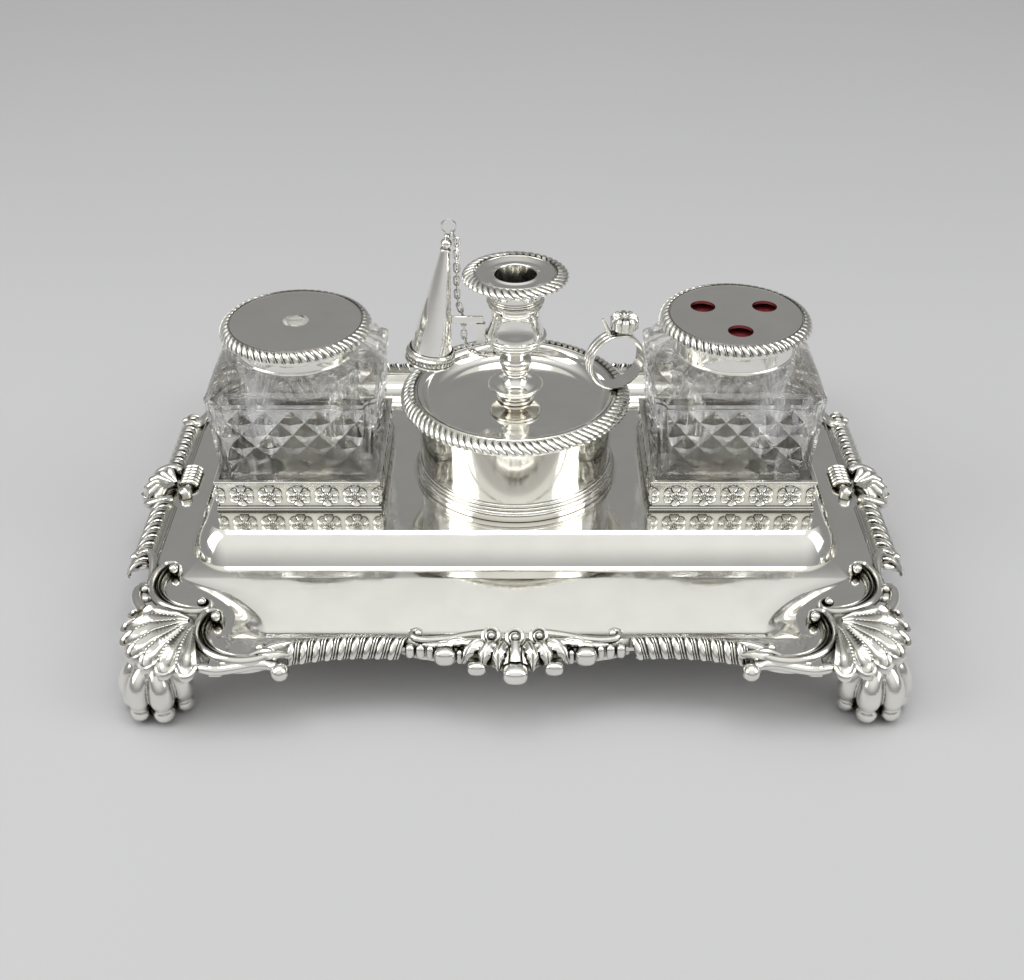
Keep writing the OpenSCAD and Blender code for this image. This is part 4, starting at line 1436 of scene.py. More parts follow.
@dataclass
class Fan:
    """Shell of hollow lobes with rolled lips and beaded ribs, opening along +X."""

    radius: float
    lobes: int
    span: float
    crown: Sequence[Pair]
    hollow: float
    scallop: float = 0.13
    lip: float = 0.75
    wall: float = 1.6
    samples: int = 14
    rings: int = 16

    def crown_at(self, share: float) -> float:
        """Height of the ribs at a share of the radius.

        Args:
            share: Share of the radius.

        Returns:
            The height.
        """
        knots = list(self.crown)
        for (a, low), (b, high) in zip(knots, knots[1:]):
            if share <= b:
                return mix(low, high, ease((share - a) / (b - a)))
        return knots[-1][1]

    def place(self, share: float, turn: float) -> Vector:
        """Point of the surface.

        Args:
            share: Share of the radius.
            turn: Share of the span.

        Returns:
            The point.
        """
        lobe = turn * self.lobes
        u = 2 * (lobe - math.floor(min(lobe, self.lobes - 1e-6))) - 1
        angle = (turn - 0.5) * self.span
        r = self.radius * share * (1 - self.scallop * share * abs(u) ** 2.4)
        x, y = polar(r, angle)
        fade = 1 - 0.35 * ease((share - 0.7) / 0.3)
        dip = self.hollow * ease(share * 1.3) * (1 - abs(u) ** 2.2) * fade
        return Vector((x, y, self.crown_at(share) - dip))

    def build(self) -> Shape:
        """The closed shell with its lips.

        Returns:
            The shape.
        """
        stations = self.lobes * self.samples
        shares = [mix(0.1, 1, k / self.rings) for k in range(self.rings + 1)]
        rings = []
        for i in range(stations + 1):
            top = [self.place(s, i / stations) for s in shares]
            low = [p - UP * self.wall for p in reversed(top)]
            rings.append(top + low)
        shape = lofted(rings)
        for k in range(self.lobes):
            edge = [
                self.place(0.985, (k + j / 16) / self.lobes) + UP * self.lip * 0.5
                for j in range(17)]
            shape.add(tube(edge, blunt(self.lip, 0.5), 8))
        return shape

    def ribs(self, bead: float, pitch: float, matrix: Matrix) -> list[Row]:
        """Rows of beads along the ribs.

        Args:
            bead: Radius of a bead.
            pitch: Distance between beads.
            matrix: Where the fan is placed.

        Returns:
            One row for each inner rib.
        """
        rows = []
        for k in range(1, self.lobes):
            places = [
                matrix @ (self.place(
                    mix(0.28, 0.95, j / 12), k / self.lobes - 1e-5) + UP * bead * 0.3)
                for j in range(13)]
            length = sum((b - a).length for a, b in zip(places, places[1:]))
            rows.append(Row(places, ball((0, 0, 0), bead, steps=6), int(length / pitch)))
        return rows


@dataclass
class CornerShell:
    """Corner ornament: a fan between two C-scrolls, with leaf curls and a round band."""

    layout: Layout
    root: Pair = (122.0, 96.0)
    turn: float = 38.0
    fan: Fan = field(default_factory=lambda: Fan(
        radius=28.6, lobes=7, span=126, lip=1.0, scallop=0.15,
        crown=[(0.0, 3.6), (0.3, 5.2), (0.6, 5.6), (0.85, 3.9), (1.0, 1.5)], hollow=3.2))
    scrolls: Sequence[Scroll] = (
        Scroll((125.0, 70.0), -31.6, 102.0), Scroll((102.0, 99.0), -25.6, 118.0))
    curl_path: Sequence[Pair] = (
        (155.2, 52.6), (153.6, 50.8), (151.1, 50.2), (148.6, 52.2), (147.0, 57.0), (146.2, 62.0),
        (145.6, 69.0))
    small_path: Sequence[Pair] = (
        (142.8, 74.8), (144.2, 72.2), (147.0, 71.8), (148.8, 74.2), (148.8, 78.2), (147.4, 82.4),
        (144.6, 87.0))
    band_path: Sequence[Pair] = (
        (117.5, 119.0), (110.5, 120.6), (103.0, 119.2), (96.5, 117.4), (91.0, 117.8), (88.0, 119.6))

    def detail(self) -> Shape:
        """Curls, band and beads in the rear right quarter.

        Returns:
            The shape.
        """
        z = self.layout.ledge
        shape = Shape()
        for scroll in self.scrolls:
            shape.add(scroll.build(z))
        curl = smooth_path([(x, y, z + 1.8) for x, y in self.curl_path], 6)
        shape.add(tube(
            curl, lambda t: mix(1.0, 2.3, math.sin(math.pi * min(1, t + 0.1)) ** 0.8), 12, 0.9))
        shape.add(ball((155.0, 53.6, z + 1.9), 2.0), ball((151.4, 55.2, z + 0.3), 4.0, 0.4))
        small = smooth_path([(x, y, z + 1.4) for x, y in self.small_path], 6)
        shape.add(tube(small, lambda t: mix(1.0, 2.3, ease(t * 1.6)), 12, 0.9))
        shape.add(ball((145.8, 75.3, z + 2.6), 1.8), ball((146.0, 77.6, z + 0.5), 3.6, 0.5))
        band = smooth_path([(x, y, z + 0.4) for x, y in self.band_path], 6)
        shape.add(tube(band, blunt(2.3, 0.6), 14, 0.9))
        line = [p + Vector((0, -1.2, 1.7)) for p in band[4:-4]]
        shape.add(tube(line, blunt(0.55, 0.4), 8))
        shape.add(ball((87.0, 120.4, z - 0.9), 3.6, 0.95))
        shape.add(block((108.2, 114.5, z - 2.4), (113.4, 122.0, z + 2.7), 0.6))
        hook = smooth_path([
            (88.2, 117.6, z + 2.0), (90.4, 114.2, z + 3.2), (94.4, 113.4, z + 2.8),
            (99.0, 114.6, z + 1.6)], 6)
        shape.add(tube(hook, blunt(1.5, 0.4), 10))
        for y0, y1, w in ((113.0, 108.5, 2.6), (115.5, 116.0, 2.4)):
            tendril = smooth_path([
                (95, y0, z + 1.8), (89, mix(y0, y1, 0.5), z + 3.2), (82.5, y1, z + 3.0)], 6)
            shape.add(leaf(tendril, w, 2.0, 4, 0.6))
        return shape

    def build(self, shop: Workshop) -> None:
        """Builds the four corners.

        Args:
            shop: Makes the pieces.
        """
        z = self.layout.ledge
        place = Matrix.Translation((*self.root, z)) @ spin(self.turn)
        fan = self.fan.build().placed(place)
        detail = self.detail()
        for name, (sx, sy) in QUARTERS.items():
            flip = Matrix.Diagonal((sx, sy, 1, 1))
            shape = Shape().add(fan.quarter(sx, sy), detail.quarter(sx, sy))
            shop.piece(
                f"shell_corner_{name}", shape, Finish.CHASED, Body.TRAY, f"corner_shell_{name}",
                rows=self.fan.ribs(0.62, 1.3, flip @ place))


@dataclass
class CentreShell:
    """Ornament of a long side: three volutes over leaves, a bulb and pairs of lobes."""

    layout: Layout
    half: float = 43.0
    volutes: Sequence[Pair] = ((-9.0, 0.0), (0.0, 0.8), (9.0, 0.0))
    volute_r: float = 4.0
    root_in: float = 7.5

    def volute(self, place: Sequence[float], r: float) -> Shape:
        """Spiral cup with a bead in its eye, facing up and outwards.

        Args:
            place: Its middle.
            r: Radius.

        Returns:
            The shape.
        """
        shape = Shape()
        places = []
        steps = 44
        for i in range(steps + 1):
            t = i / steps
            px, py = polar(mix(r * 0.92, r * 0.36, t), 90 + 560 * t)
            places.append(Vector((px, py, mix(0, 0.9, t))))
        shape.add(tube(places, lambda t: mix(0.85, 0.4, t), 8))
        shape.add(revolved([
            (0, -1.5), (r * 0.8, -1.5), (r, -0.5), (r * 0.95, 0.2), (r * 0.5, 0.1), (0, 0.3)], 28))
        shape.add(ball((0, 0, 1.1), r * 0.36))
        return shape.turned(-38, "X").moved(*place)

    def pillow(self, place: Sequence[float], size: Sequence[float]) -> Shape:
        """Rounded drop lobe.

        Args:
            place: Its middle.
            size: Half its length each way.

        Returns:
            The lobe.
        """
        shape = ball((0, 0, 0), 1.0, 1.0, 24)
        points = []
        for p in shape.points:
            q = Vector([math.copysign(abs(c) ** 0.75, c) for c in p])
            points.append(Vector([c + d * w for c, d, w in zip(place, q, size)]))
        return Shape(points, shape.faces)

    def drawn(self) -> Shape:
        """The ornament on the +Y side.

        Returns:
            The shape.
        """
        z = self.layout.ledge
        root = self.layout.border_y - self.root_in

        def at(side: float, *places: Triple) -> list[Triple]:
            """Places out to a side, out from the root and up from the ledge."""
            return [(side * x, root + y, z + up) for x, y, up in places]

        backing = []
        for i in range(61):
            x = mix(-self.half, self.half, i / 60)
            reach = 6.9 + 8.3 * bump(x, 0, 11) + 2.2 * (bump(x, 26, 6) + bump(x, -26, 6))
            if abs(x) > 36:
                reach *= mix(1, 0.55, (abs(x) - 36) / 7)
            backing.append([
                Vector(p)
                for p in at(
                    1, (x, -1.5, -1.4), (x, -1.5, 0.9), (x, 2, 2.6), (x, reach * 0.6, 2.0),
                    (x, reach * 0.92, -0.6), (x, reach, -3.2), (x, reach * 0.85, -4.2),
                    (x, 3.4, -2.0))])
        shape = lofted(backing)
        for x, y in self.volutes:
            shape.add(self.volute((x, root + 2.6 + y, z + 4.4), self.volute_r))
        stalk = smooth_path(at(1, (0, 5, 3.2), (0, 9.5, 1.8), (0, 12.5, -0.2)), 6)
        shape.add(tube(stalk, lambda t: mix(2.0, 2.9, t), 14, 0.8))
        arch = [Vector((x, root + 13.3 - 0.04 * x * x, z - 0.9)) for x in range(-4, 5)]
        shape.add(tube(arch, blunt(0.9, 0.5), 8))
        shape.add(self.pillow((0, root + 15.6, z - 2.6), (4.9, 4.3, 3.6)))
        for sx in (-1, 1):
            for (x0, y0), (x1, y1), w in (
                    ((4.6, 5.5), (6.4, 15.4), 2.7), ((8.5, 5.0), (12.4, 13.6), 3.2),
                    ((12.5, 4.0), (19.5, 10.8), 3.3)):
                bend = (mix(x0, x1, 0.5) + 0.8, mix(y0, y1, 0.5), 2.6)
                shape.add(leaf(
                    smooth_path(at(sx, (x0, y0, 3.2), bend, (x1, y1, -2.2)), 8), w, 1.7, 4, 0.5))
            for x, y, up, size in (
                    (14.4, 13.0, -2.4, (3.6, 2.4, 2.7)), (26.4, 7.6, -0.9, (4.2, 3.4, 3.7)),
                    (20.9, 7.0, -1.6, (1.5, 2.2, 3.2)), (31.9, 5.6, -0.8, (1.6, 2.4, 3.4)),
                    (35.6, 5.2, -0.8, (1.9, 2.3, 3.2)), (39.6, 5.0, -0.6, (1.9, 2.3, 3.0))):
                shape.add(self.pillow((sx * x, root + y, z + up), size))
            ridge = at(
                sx, (10.5, 1.2, 4.6), (18, 1.0, 3.4), (26, 2.4, 2.8), (33, 3.2, 3.0),
                (38, 2.2, 3.2), (39.4, -0.6, 3.4), (37.4, -2.0, 3.6), (35.6, -0.8, 3.8))
            shape.add(tube(smooth_path(ridge, 7), lambda t: mix(1.9, 0.8, t), 10))
            shape.add(ball((sx * 36.6, root - 0.2, z + 3.4), 1.7))
            lower = at(sx, (13, 4.2, 3.2), (21, 4.6, 3.2), (28, 5.2, 2.6), (35, 5.2, 2.2))
            shape.add(leaf(smooth_path(lower, 7), 2.3, 1.3, 7))
            frond = at(sx, (18, 5, 3.2), (22.5, 4.2, 3.6), (26.5, 5.4, 3.0))
            shape.add(leaf(smooth_path(frond, 6), 1.7, 1.3, 3))
        return shape

    def build(self, shop: Workshop) -> None:
        """Builds both long sides.

        Args:
            shop: Makes the pieces.
        """
        drawn = self.drawn()
        for name, sy in (("front", -1), ("rear", 1)):
            shop.piece(
                f"shell_centre_{name}", drawn.quarter(1, sy), Finish.CHASED, Body.TRAY,
                f"centre_shell_{name}")


@dataclass
class SideShell:
    """Shell of a short side, with a bundle of reeds and a flower bead."""

    layout: Layout
    root_in: float = 9.0
    reach: float = 7.2

    def drawn(self) -> Shape:
        """The ornament on the +X side, its reeds behind the middle and its flower in front.

        Returns:
            The shape.
        """
        z = self.layout.ledge
        root = self.layout.border_x - self.root_in
        fan = Fan(
            radius=self.layout.border_x + self.reach - root, lobes=6, span=136,
            crown=[(0.0, 2.4), (0.3, 3.9), (0.55, 4.8), (0.8, 3.0), (1.0, -2.6)], hollow=-1.5,
            scallop=0.16, lip=0.5, wall=2.0)
        shape = fan.build().moved(root, 0, z)
        for k in range(6):
            y = mix(12.8, 0.8, k / 5)
            x = root - 4.4
            path = [
                Vector((x + 3.4 * sine(a), y, z + 0.8 + 2.3 * cosine(a)))
                for a in range(-90, 91, 15)]
            shape.add(tube(path, blunt(1.2, 0.7), 10))
        shape.add(tube([
            Vector((root - 4.4, y, z + 1.0))
            for y in (-3, 1, 6, 10, 13.5)], blunt(2.2, 0.5), 12, 0.9))

        def outline(a: float) -> float:
            """Radius of the bud at an angle in degrees."""
            return 3.0 * (0.9 + 0.1 * abs(cosine(2.5 * a)))

        def height(s: float, a: float) -> float:
            """Height of the bud at a share of its radius."""
            return 3.0 * math.sqrt(max(0.0, 1 - (0.93 * s) ** 2)) - 0.25 * bump(s, 0.35, 0.08)

        bud = heightfield(outline, height, 40, 10, -1.5)
        shape.add(bud.moved(root - 4.2, -6.4, z + 1.7))
        for sy in (-1, 1):
            scroll = smooth_path([
                (root + 0.5, sy * 10.5, z + 2), (root + 5, sy * 13.2, z + 2.6),
                (root + 10.5, sy * 12.6, z + 0.8), (root + 12.2, sy * 10.0, z - 1.2)], 7)
            shape.add(tube(scroll, blunt(2.0, 0.4), 12, 0.8))
        return shape

    def build(self, shop: Workshop) -> None:
        """Builds both short sides.

        Args:
            shop: Makes the pieces.
        """
        drawn = self.drawn()
        for name, sx in (("left", -1), ("right", 1)):
            shop.piece(
                f"shell_side_{name}", drawn.quarter(sx, 1), Finish.CHASED, Body.TRAY,
                f"side_shell_{name}")


@dataclass
class PawFoot:
    """Cast paw with four toes, a furred ankle and a collar."""

    layout: Layout
    place: Pair = (137.0, 107.0)
    turn: float = 6.0
    toes: int = 4
    step: float = 52.0
    grain: float = 0.36
    profile: Sequence[Triple] = (
        (3.5, 24.0, 2.0), (5.6, 22.2, 3.2), (7.9, 19.4, 4.1), (9.7, 15.6, 4.7), (10.3, 11.6, 4.8),
        (9.7, 8.6, 4.1), (9.1, 6.9, 3.6), (10.3, 5.0, 4.3), (10.0, 3.4, 3.4), (8.2, 1.9, 1.8))

    def toe(self, angle: float) -> Shape:
        """One toe: long knuckle, crease and pad, pointing along +X and turned.

        Args:
            angle: The turn in degrees.

        Returns:
            The toe.
        """
        spine = smooth_path([(x, 0, z) for x, z, _ in self.profile], 4)
        sizes = smooth_path([(r, 0, 0) for _, _, r in self.profile], 4)
        rings = []
        for i, p in enumerate(spine):
            ahead = (spine[min(i + 1, len(spine) - 1)] - spine[max(i - 1, 0)]).normalized()
            out = Vector((-ahead.z, 0, ahead.x))
            r = sizes[i].x
            rings.append([
                p + out * x * r * 0.95 + Vector((0, y * r, 0))
                for x, y in arc(0, 0, 1, 0, 345, 23)])
        return lofted(rings).turned(angle)

    def drawn(self) -> Shape:
        """The paw, pointing along +X, with its sole on the table.

        Returns:
            The shape.
        """
        top = self.layout.foot_top
        shape = Shape()
        for k in range(self.toes):
            shape.add(self.toe((k - (self.toes - 1) / 2) * self.step))
        body = [
            (0, 0), (6.8, 0.0), (7.6, 1.4), (7.4, 5), (7.2, 10), (6.6, 14.5), (5.8, 18), (5.2, 21),
            (5.6, 23.4), (7.0, 24.4), (7.4, 25.6), (6.8, top), (0, top)]
        shape.add(revolved(softened(body, 1.0), 48))
        for k in range(9):
            x, y = polar(1, mix(94, 266, k / 8))
            tuft = smooth_path([
                (x * 5.2, y * 5.2, 23), (x * 7.4, y * 7.4, 17), (x * 8.6, y * 8.6, 10),
                (x * 8.0, y * 8.0, 4)], 5)
            shape.add(tube(tuft, blunt(2.0, 0.4), 10))
        for k in range(7):
            x, y = polar(1, (k - 3) * 22)
            lock = smooth_path([
                (x * 5.6, y * 5.6, 26.0), (x * 7.2, y * 7.2, 22.8), (x * 8.6, y * 8.6, 19.8)], 4)
            shape.add(tube(lock, blunt(1.5, 0.3, 0.3), 8))
        return shape

    def build(self, shop: Workshop) -> None:
        """Builds the four feet.

        Args:
            shop: Makes the pieces.
        """
        drawn = self.drawn().turned(90 - self.turn).moved(self.place[0], self.place[1], 0)
        for name, (sx, sy) in QUARTERS.items():
            shop.piece(
                f"paw_{name}", drawn.quarter(sx, sy), Finish.CHASED, Body.TRAY, f"paw_foot_{name}",
                grain=self.grain, crease=60)


# ---- inkwells


@dataclass
class Gallery:
    """Square gallery of rosettes between two rails, which holds a bottle."""

    layout: Layout
    wall_in: float = 32.4
    wall_out: float = 33.3
    rail: float = 1.9
    rosette_r: float = 5.1
    count: int = 5
    pitch: float = 11.7

    def frame(self, outer: float, inner: float, low: float, high: float, soft: float) -> Shape:
        """Square ring with softened edges.

        Args:
            outer: Half width outside.
            inner: Half width inside.
            low: Lowest level.
            high: Highest level.
            soft: Length cut off each outer edge.

        Returns:
            The shape.
        """
        profile = [
            (inner, low), (outer - soft, low), (outer, low + soft), (outer, high - soft),
            (outer - soft, high), (inner, high)]
        rings = [
            [Vector((sx * r, sy * r, z)) for r, z in profile]
            for sx, sy in ((1, 1), (-1, 1), (-1, -1), (1, -1))]
        return lofted(rings, looped=True)

    def rosette(self) -> Shape:
        """Six-petalled rosette: x out of the wall, y along it and z up.

        Returns:
            The rosette.
        """

        def outline(a: float) -> float:
            """Radius at an angle in degrees."""
            petal = abs(cosine(3 * (a - 90)))
            return self.rosette_r * (0.8 + 0.2 * petal ** 0.5)

        def height(s: float, a: float) -> float:
            """Height at a share of the radius and an angle.

            Args:
                s: Share of the radius.
                a: Angle in degrees.

            Returns:
                The height.
            """
            petal = abs(cosine(3 * (a - 90)))
            dome = 1.25 * math.sin(math.pi * min(1, s * 0.8 + 0.14)) ** 0.5 * (
                0.35 + 0.65 * petal ** 0.35)
            slot = 0.3 * bump(petal, 1, 0.02) * bump(s, 0.66, 0.16) + 0.45 * bump(s, 0.47, 0.05)
            beads = 1.25 * bump(s, 0, 0.13) + 0.9 * bump(s, 0.31, 0.08) * (1 - petal) ** 0.5
            return max(0.05, dome * ease(s / 0.4) + beads - slot)

        flat = heightfield(outline, height, 72, 14, -0.4)
        return Shape([Vector((p.z, p.x, p.y)) for p in flat.points], flat.faces)

    def cut_half(self, rosette: Shape, cut: float, side: float) -> Shape:
        """The rosette at one end of a wall: x out, y along.

        Args:
            rosette: The whole rosette.
            cut: Where the corner lies, from the middle of the rosette.
            side: Sign of that end of the wall.

        Returns:
            The rosette, pressed flat past the corner.
        """
        middle = self.pitch * (self.count + 1) / 2
        points = []
        for p in rosette.points:
            out = p.x if side * p.y < cut else min(p.x, 0.0)
            points.append(Vector((out, side * (middle + min(side * p.y, cut)), p.z)))
        return Shape(points, rosette.faces)

    def build(self, shop: Workshop, name: str, sx: float) -> None:
        """Builds one gallery.

        Args:
            shop: Makes the pieces.
            name: Side of the tray.
            sx: Sign of that side.
        """
        low, high = self.layout.deck, self.layout.gallery_top
        half = self.layout.gallery_half
        centre = sx * self.layout.well_x
        shape = self.frame(self.wall_out, self.wall_in, low, high, 0.2)
        for z0, z1, out in (
                (low, low + 0.8, half), (low + 0.9, low + self.rail, half - 0.25),
                (high - self.rail, high - 0.9, half - 0.25), (high - 0.8, high, half)):
            shape.add(self.frame(out, self.wall_out - 0.2, z0, z1, 0.3))
        rows = []
        rosette = self.rosette()
        cut = self.wall_out - self.pitch * (self.count + 1) / 2
        halves = Shape().add(self.cut_half(rosette, cut, 1), self.cut_half(rosette, cut, -1))
        middle = (low + high) / 2
        for side in range(4):
            turn = Matrix.Translation((centre, 0, 0)) @ spin(90 * side)
            ends = [
                turn @ Vector(((k - (self.count - 1) / 2) * self.pitch, -self.wall_out, middle))
                for k in range(self.count)]
            rows.append(Row(ends, rosette, self.count))
            out = Matrix.Translation((0, -self.wall_out, middle))
            shape.add(halves.placed(spin(90 * side) @ out @ spin(-90)))
        shop.piece(
            f"rosette_gallery_{name}", shape.moved(x=centre), Finish.CHASED, Body.TRAY,
            f"{name}_gallery", rows=rows, crease=30)


@dataclass
class Bottle:
    """Square bottle with cove-cut corners and a panel of cut pyramids on each side."""

    layout: Layout
    half: float = 32.0
    body_h: float = 52.0
    shoulder_h: float = 6.0
    cove: float = 5.0
    panel_w: float = 52.0
    panel_h: float = 29.0
    panel_z: float = 18.0
    columns: int = 10
    rows: int = 5
    cut: float = 1.9
    flare: float = 2.7
    flare_z: float = 14.5
    neck_r: float = 22.2
    neck_h: float = 5.0
    bore_r: float = 17.0
    well_r: float = 24.0
    well_floor: float = 7.0
    cove_steps: int = 6

    def side(self, grow: float, sink: Callable[[int], float]) -> list[Pair]:
        """Outline of one side with the corner at its right end, facing -Y.

        Args:
            grow: How far the whole outline is pushed out.
            sink: Depth of each column of the panel.

        Returns:
            Points from left to right.
        """
        half = self.half + grow
        flat = half - self.cove
        made = [(-flat, -half), (-flat + 0.3, -half)]
        for i in range(self.columns + 1):
            x = mix(-self.panel_w / 2, self.panel_w / 2, i / self.columns)
            x = max(-flat + 0.45, min(flat - 0.45, x))
            made.append((x, -half + sink(i)))
        made += [(flat - 0.3, -half)]
        return made + arc(half, -half, self.cove, 180, 90, self.cove_steps)[:-1]

    def ring(
            self, z: float, inset: float = 0.0,
            sink: Callable[[int], float] = lambda i: 0.0) -> list[Vector]:
        """Outline of the body at a height.

        Args:
            z: The height.
            inset: How far it is drawn in.
            sink: Depth of each column of the panel.

        Returns:
            Points round the outline.
        """
        share = (z - self.layout.deck - self.flare_z) / (self.body_h - self.flare_z)
        grow = self.flare * min(1.0, max(0.0, share)) - inset
        made = []
        for k in range(4):
            turn = Matrix.Rotation(math.radians(90 * k), 3, "Z")
            made += [turn @ Vector((x, y, z)) for x, y in self.side(grow, sink)]
        return made

    def round_ring(self, radius: float, z: float) -> list[Vector]:
        """Circle with as many points as the body's outline."""
        return [Vector((p.x, p.y, 0)).normalized() * radius + UP * z for p in self.ring(0)]

    def drawn(self) -> Shape:
        """The whole bottle about the vertical.

        Returns:
            The shape.
        """
        deck = self.layout.deck
        rings = [
            self.round_ring(6, deck + 0.3), self.ring(deck + 0.05, 1.2),
            self.ring(deck + 0.35, 0.4), self.ring(deck + 1.0, 0.0),
            self.ring(deck + self.panel_z - 1.2)]
        step = self.panel_h / self.rows
        for j in range(self.rows + 1):
            z = deck + self.panel_z + j * step
            rings.append(self.ring(z, 0.0, lambda i, j=j: self.cut if (i + j) % 2 == 0 else 0.05))
        top = deck + self.panel_z + self.panel_h
        for z, inset in (
                (1.2, 0), (1.8, 0), (2.1, 0.45), (2.5, 0.45), (2.8, 0), (4.0, 0), (4.6, 0.5)):
            rings.append(self.ring(top + z, inset))
        shoulder = deck + self.body_h
        count = 9
        for k in range(count + 1):
            t = k / count
            square = [Vector((p.x, p.y, 0)) for p in self.ring(shoulder, 0.9 + 5.4 * t)]
            circle = self.round_ring(self.neck_r + 0.3, 0)
            blend = ease(t) ** 1.4
            z = shoulder + 0.1 + (self.shoulder_h - 0.5) * sine(90 * t) ** 1.15
            rings.append([a.lerp(b, blend) + UP * z for a, b in zip(square, circle)])
        neck = shoulder + self.shoulder_h
        mouth, floor = neck + self.neck_h, deck + self.well_floor
        out, bore, well = self.neck_r, self.bore_r, self.well_r
        for r, z in (
                (out, neck + 0.1), (out, mouth - 0.4), (out - 0.4, mouth), (bore + 0.4, mouth),
                (bore, mouth - 0.4), (bore, shoulder + 2), (bore + 0.8, shoulder - 0.5),
                (bore + 3.4, shoulder - 3.4), (well - 1.4, shoulder - 6), (well, shoulder - 9.5),
                (well, floor + 5), (well - 1.2, floor + 2), (well - 4, floor + 0.4),
                (well - 8, floor), (4, floor)):
            rings.append(self.round_ring(r, z))
        return self._split(lofted(rings))

    def _split(self, shape: Shape) -> Shape:
        """Splits each bent cell along its deeper diagonal, so that every pyramid has flat faces.

        Args:
            shape: The bottle.

        Returns:
            The bottle with those cells split.
        """
        faces = []
        for f in shape.faces:
            if len(f) == 4:
                a, b, c, d = (shape.points[i] for i in f)
                if abs((b - a).cross(c - a).normalized().dot(d - a)) > 0.2:
                    depth = [-max(abs(p.x), abs(p.y)) for p in (a, b, c, d)]
                    if depth[0] + depth[2] > depth[1] + depth[3]:
                        faces += [(f[0], f[1], f[2]), (f[0], f[2], f[3])]
                    else:
                        faces += [(f[1], f[2], f[3]), (f[1], f[3], f[0])]
                    continue
            faces.append(f)
        return Shape(shape.points, faces)


@dataclass
class Inkwell:
    """One inkwell: bottle, silver collar and cap with its holes."""

    layout: Layout
    name: str
    sign: float
    holes: Sequence[Triple]
    bottle_body: Body
    cap_body: Body
    collar_r: float = 25.0
    bore_r: float = 17.0
    plate_r: float = 26.7
    plate_t: float = 1.2
    rim_r: float = 31.0
    cap_h: float = 6.6
    rim_h: float = 4.0
    plug_r: float = 16.7
    lobes: int = 60

    def plate(self, top: float) -> Shape:
        """Flat plate of the cap with its holes cut through.

        Args:
            top: Level of its top.

        Returns:
            The plate.
        """
        holes = [arc(x, y, r, 0, 360 - 11.25, 31) for x, y, r in self.holes]
        face = pierced(arc(0, 0, self.plate_r, 0, 360 - 3.75, 95), holes, top)
        n = len(face.points)
        shape = Shape(face.points + [p - UP * self.plate_t for p in face.points])
        shape.faces = face.faces + [tuple(i + n for i in reversed(f)) for f in face.faces]
        edges = {(a, b) for f in face.faces for a, b in zip(f, (*f[1:], f[0]))}
        shape.faces += [(b, a, a + n, b + n) for a, b in edges if (b, a) not in edges]
        return shape

    def rib(self, wide: float, shift: float) -> Shape:
        """One rib of the gadroon rim: x out, y round and z up from the plate's level.

        Args:
            wide: Half width of the rib.
            shift: Place round the rim.

        Returns:
            The closed shape.
        """
        w = self.rim_r - self.plate_r
        rings = []
        for k in range(9):
            t = k / 8
            x = mix(0.8, w - 0.75, sine(90 * t))
            z = mix(-0.3, -self.rim_h + 0.7, (1 - cosine(90 * t)))
            r = wide * math.sin(math.pi * mix(0.14, 0.78, t)) ** 0.6
            along = 2.6 * (t - 0.5) + shift
            ahead = Vector((cosine(90 * t), 0, -sine(90 * t)))
            normal = Vector((-ahead.z, 0, ahead.x))
            rings.append([
                Vector((x, along + a * r, z)) + normal * b * 0.75
                for a, b in arc(0, 0, 1, 0, 324, 9)])
        return lofted(rings)

    def build(self, shop: Workshop) -> None:
        """Builds the inkwell's pieces.

        Args:
            shop: Makes the pieces.
        """
        centre = self.sign * self.layout.well_x
        top = box(f"{self.name}_cap")[1].z
        bottle = box(f"{self.name}_bottle")[1].z
        seat = top - self.cap_h
        neck = bottle - 5.0
        shop.piece(
            f"cut_bottle_{self.name}", Bottle(self.layout).drawn().moved(x=centre), Finish.GLASS,
            self.bottle_body, f"{self.name}_bottle", crease=12)
        r, bore, lip = self.collar_r, self.bore_r, bottle + 0.15
        collar = softened([
            (22.4, neck + 0.2), (r - 0.6, neck + 0.2), (r, neck + 0.6), (r, neck + 1.4),
            (r - 0.5, neck + 1.8), (r - 0.5, seat - 1.0), (r - 0.1, seat - 0.7),
            (r - 0.1, seat - 0.1), (bore, seat - 0.1), (bore, lip), (22.4, lip),
            (22.4, neck + 0.2)], 0.25, 2)
        shop.piece(
            f"neck_collar_{self.name}", revolved(collar, looped=True).moved(x=centre),
            Finish.POLISHED, self.bottle_body, f"{self.name}_collar")
        p, q, under = self.plate_r, self.plug_r, top - self.plate_t + 0.1
        skirt = softened([
            (p - 1.4, under), (p - 0.05, under), (p - 0.05, seat + 2.6), (p + 1.0, seat + 2.2),
            (p + 1.0, seat + 1.2), (p + 0.3, seat + 1.0), (p + 0.5, seat + 0.3), (p, seat),
            (q, seat), (q, seat - 4.4), (q - 1.2, seat - 4.4), (q - 1.2, seat + 1.2),
            (p - 1.4, seat + 1.2), (p - 1.4, under)], 0.25, 2)
        cap = Shape().add(self.plate(top), revolved(skirt, looped=True))
        shop.piece(
            f"cap_plate_{self.name}", cap.moved(x=centre), Finish.POLISHED, self.cap_body,
            f"{self.name}_cap")
        w, low = self.rim_r, top - self.rim_h
        core = softened([
            (p + 0.1, low + 0.4), (p + 0.1, top - 0.1), (p + 0.7, top - 0.05), (w - 2.6, top - 1.3),
            (w - 2.2, top - 2.2), (w - 2.2, low + 0.9), (w - 2.4, low + 0.2),
            (p + 0.1, low + 0.2)], 0.3, 2)
        circle = [Vector((*polar(p, a), top)) + Vector((centre, 0, 0)) for a in range(0, 360, 3)]
        shop.piece(
            f"cap_gadroons_{self.name}", revolved(core, looped=True).moved(x=centre), Finish.CHASED,
            self.cap_body, f"{self.name}_cap_rim",
            rows=[
                Row(circle, self.rib(wide, shift), self.lobes, looped=True)
                for wide, shift in ((1.2, 0.0), (0.42, 1.4))])


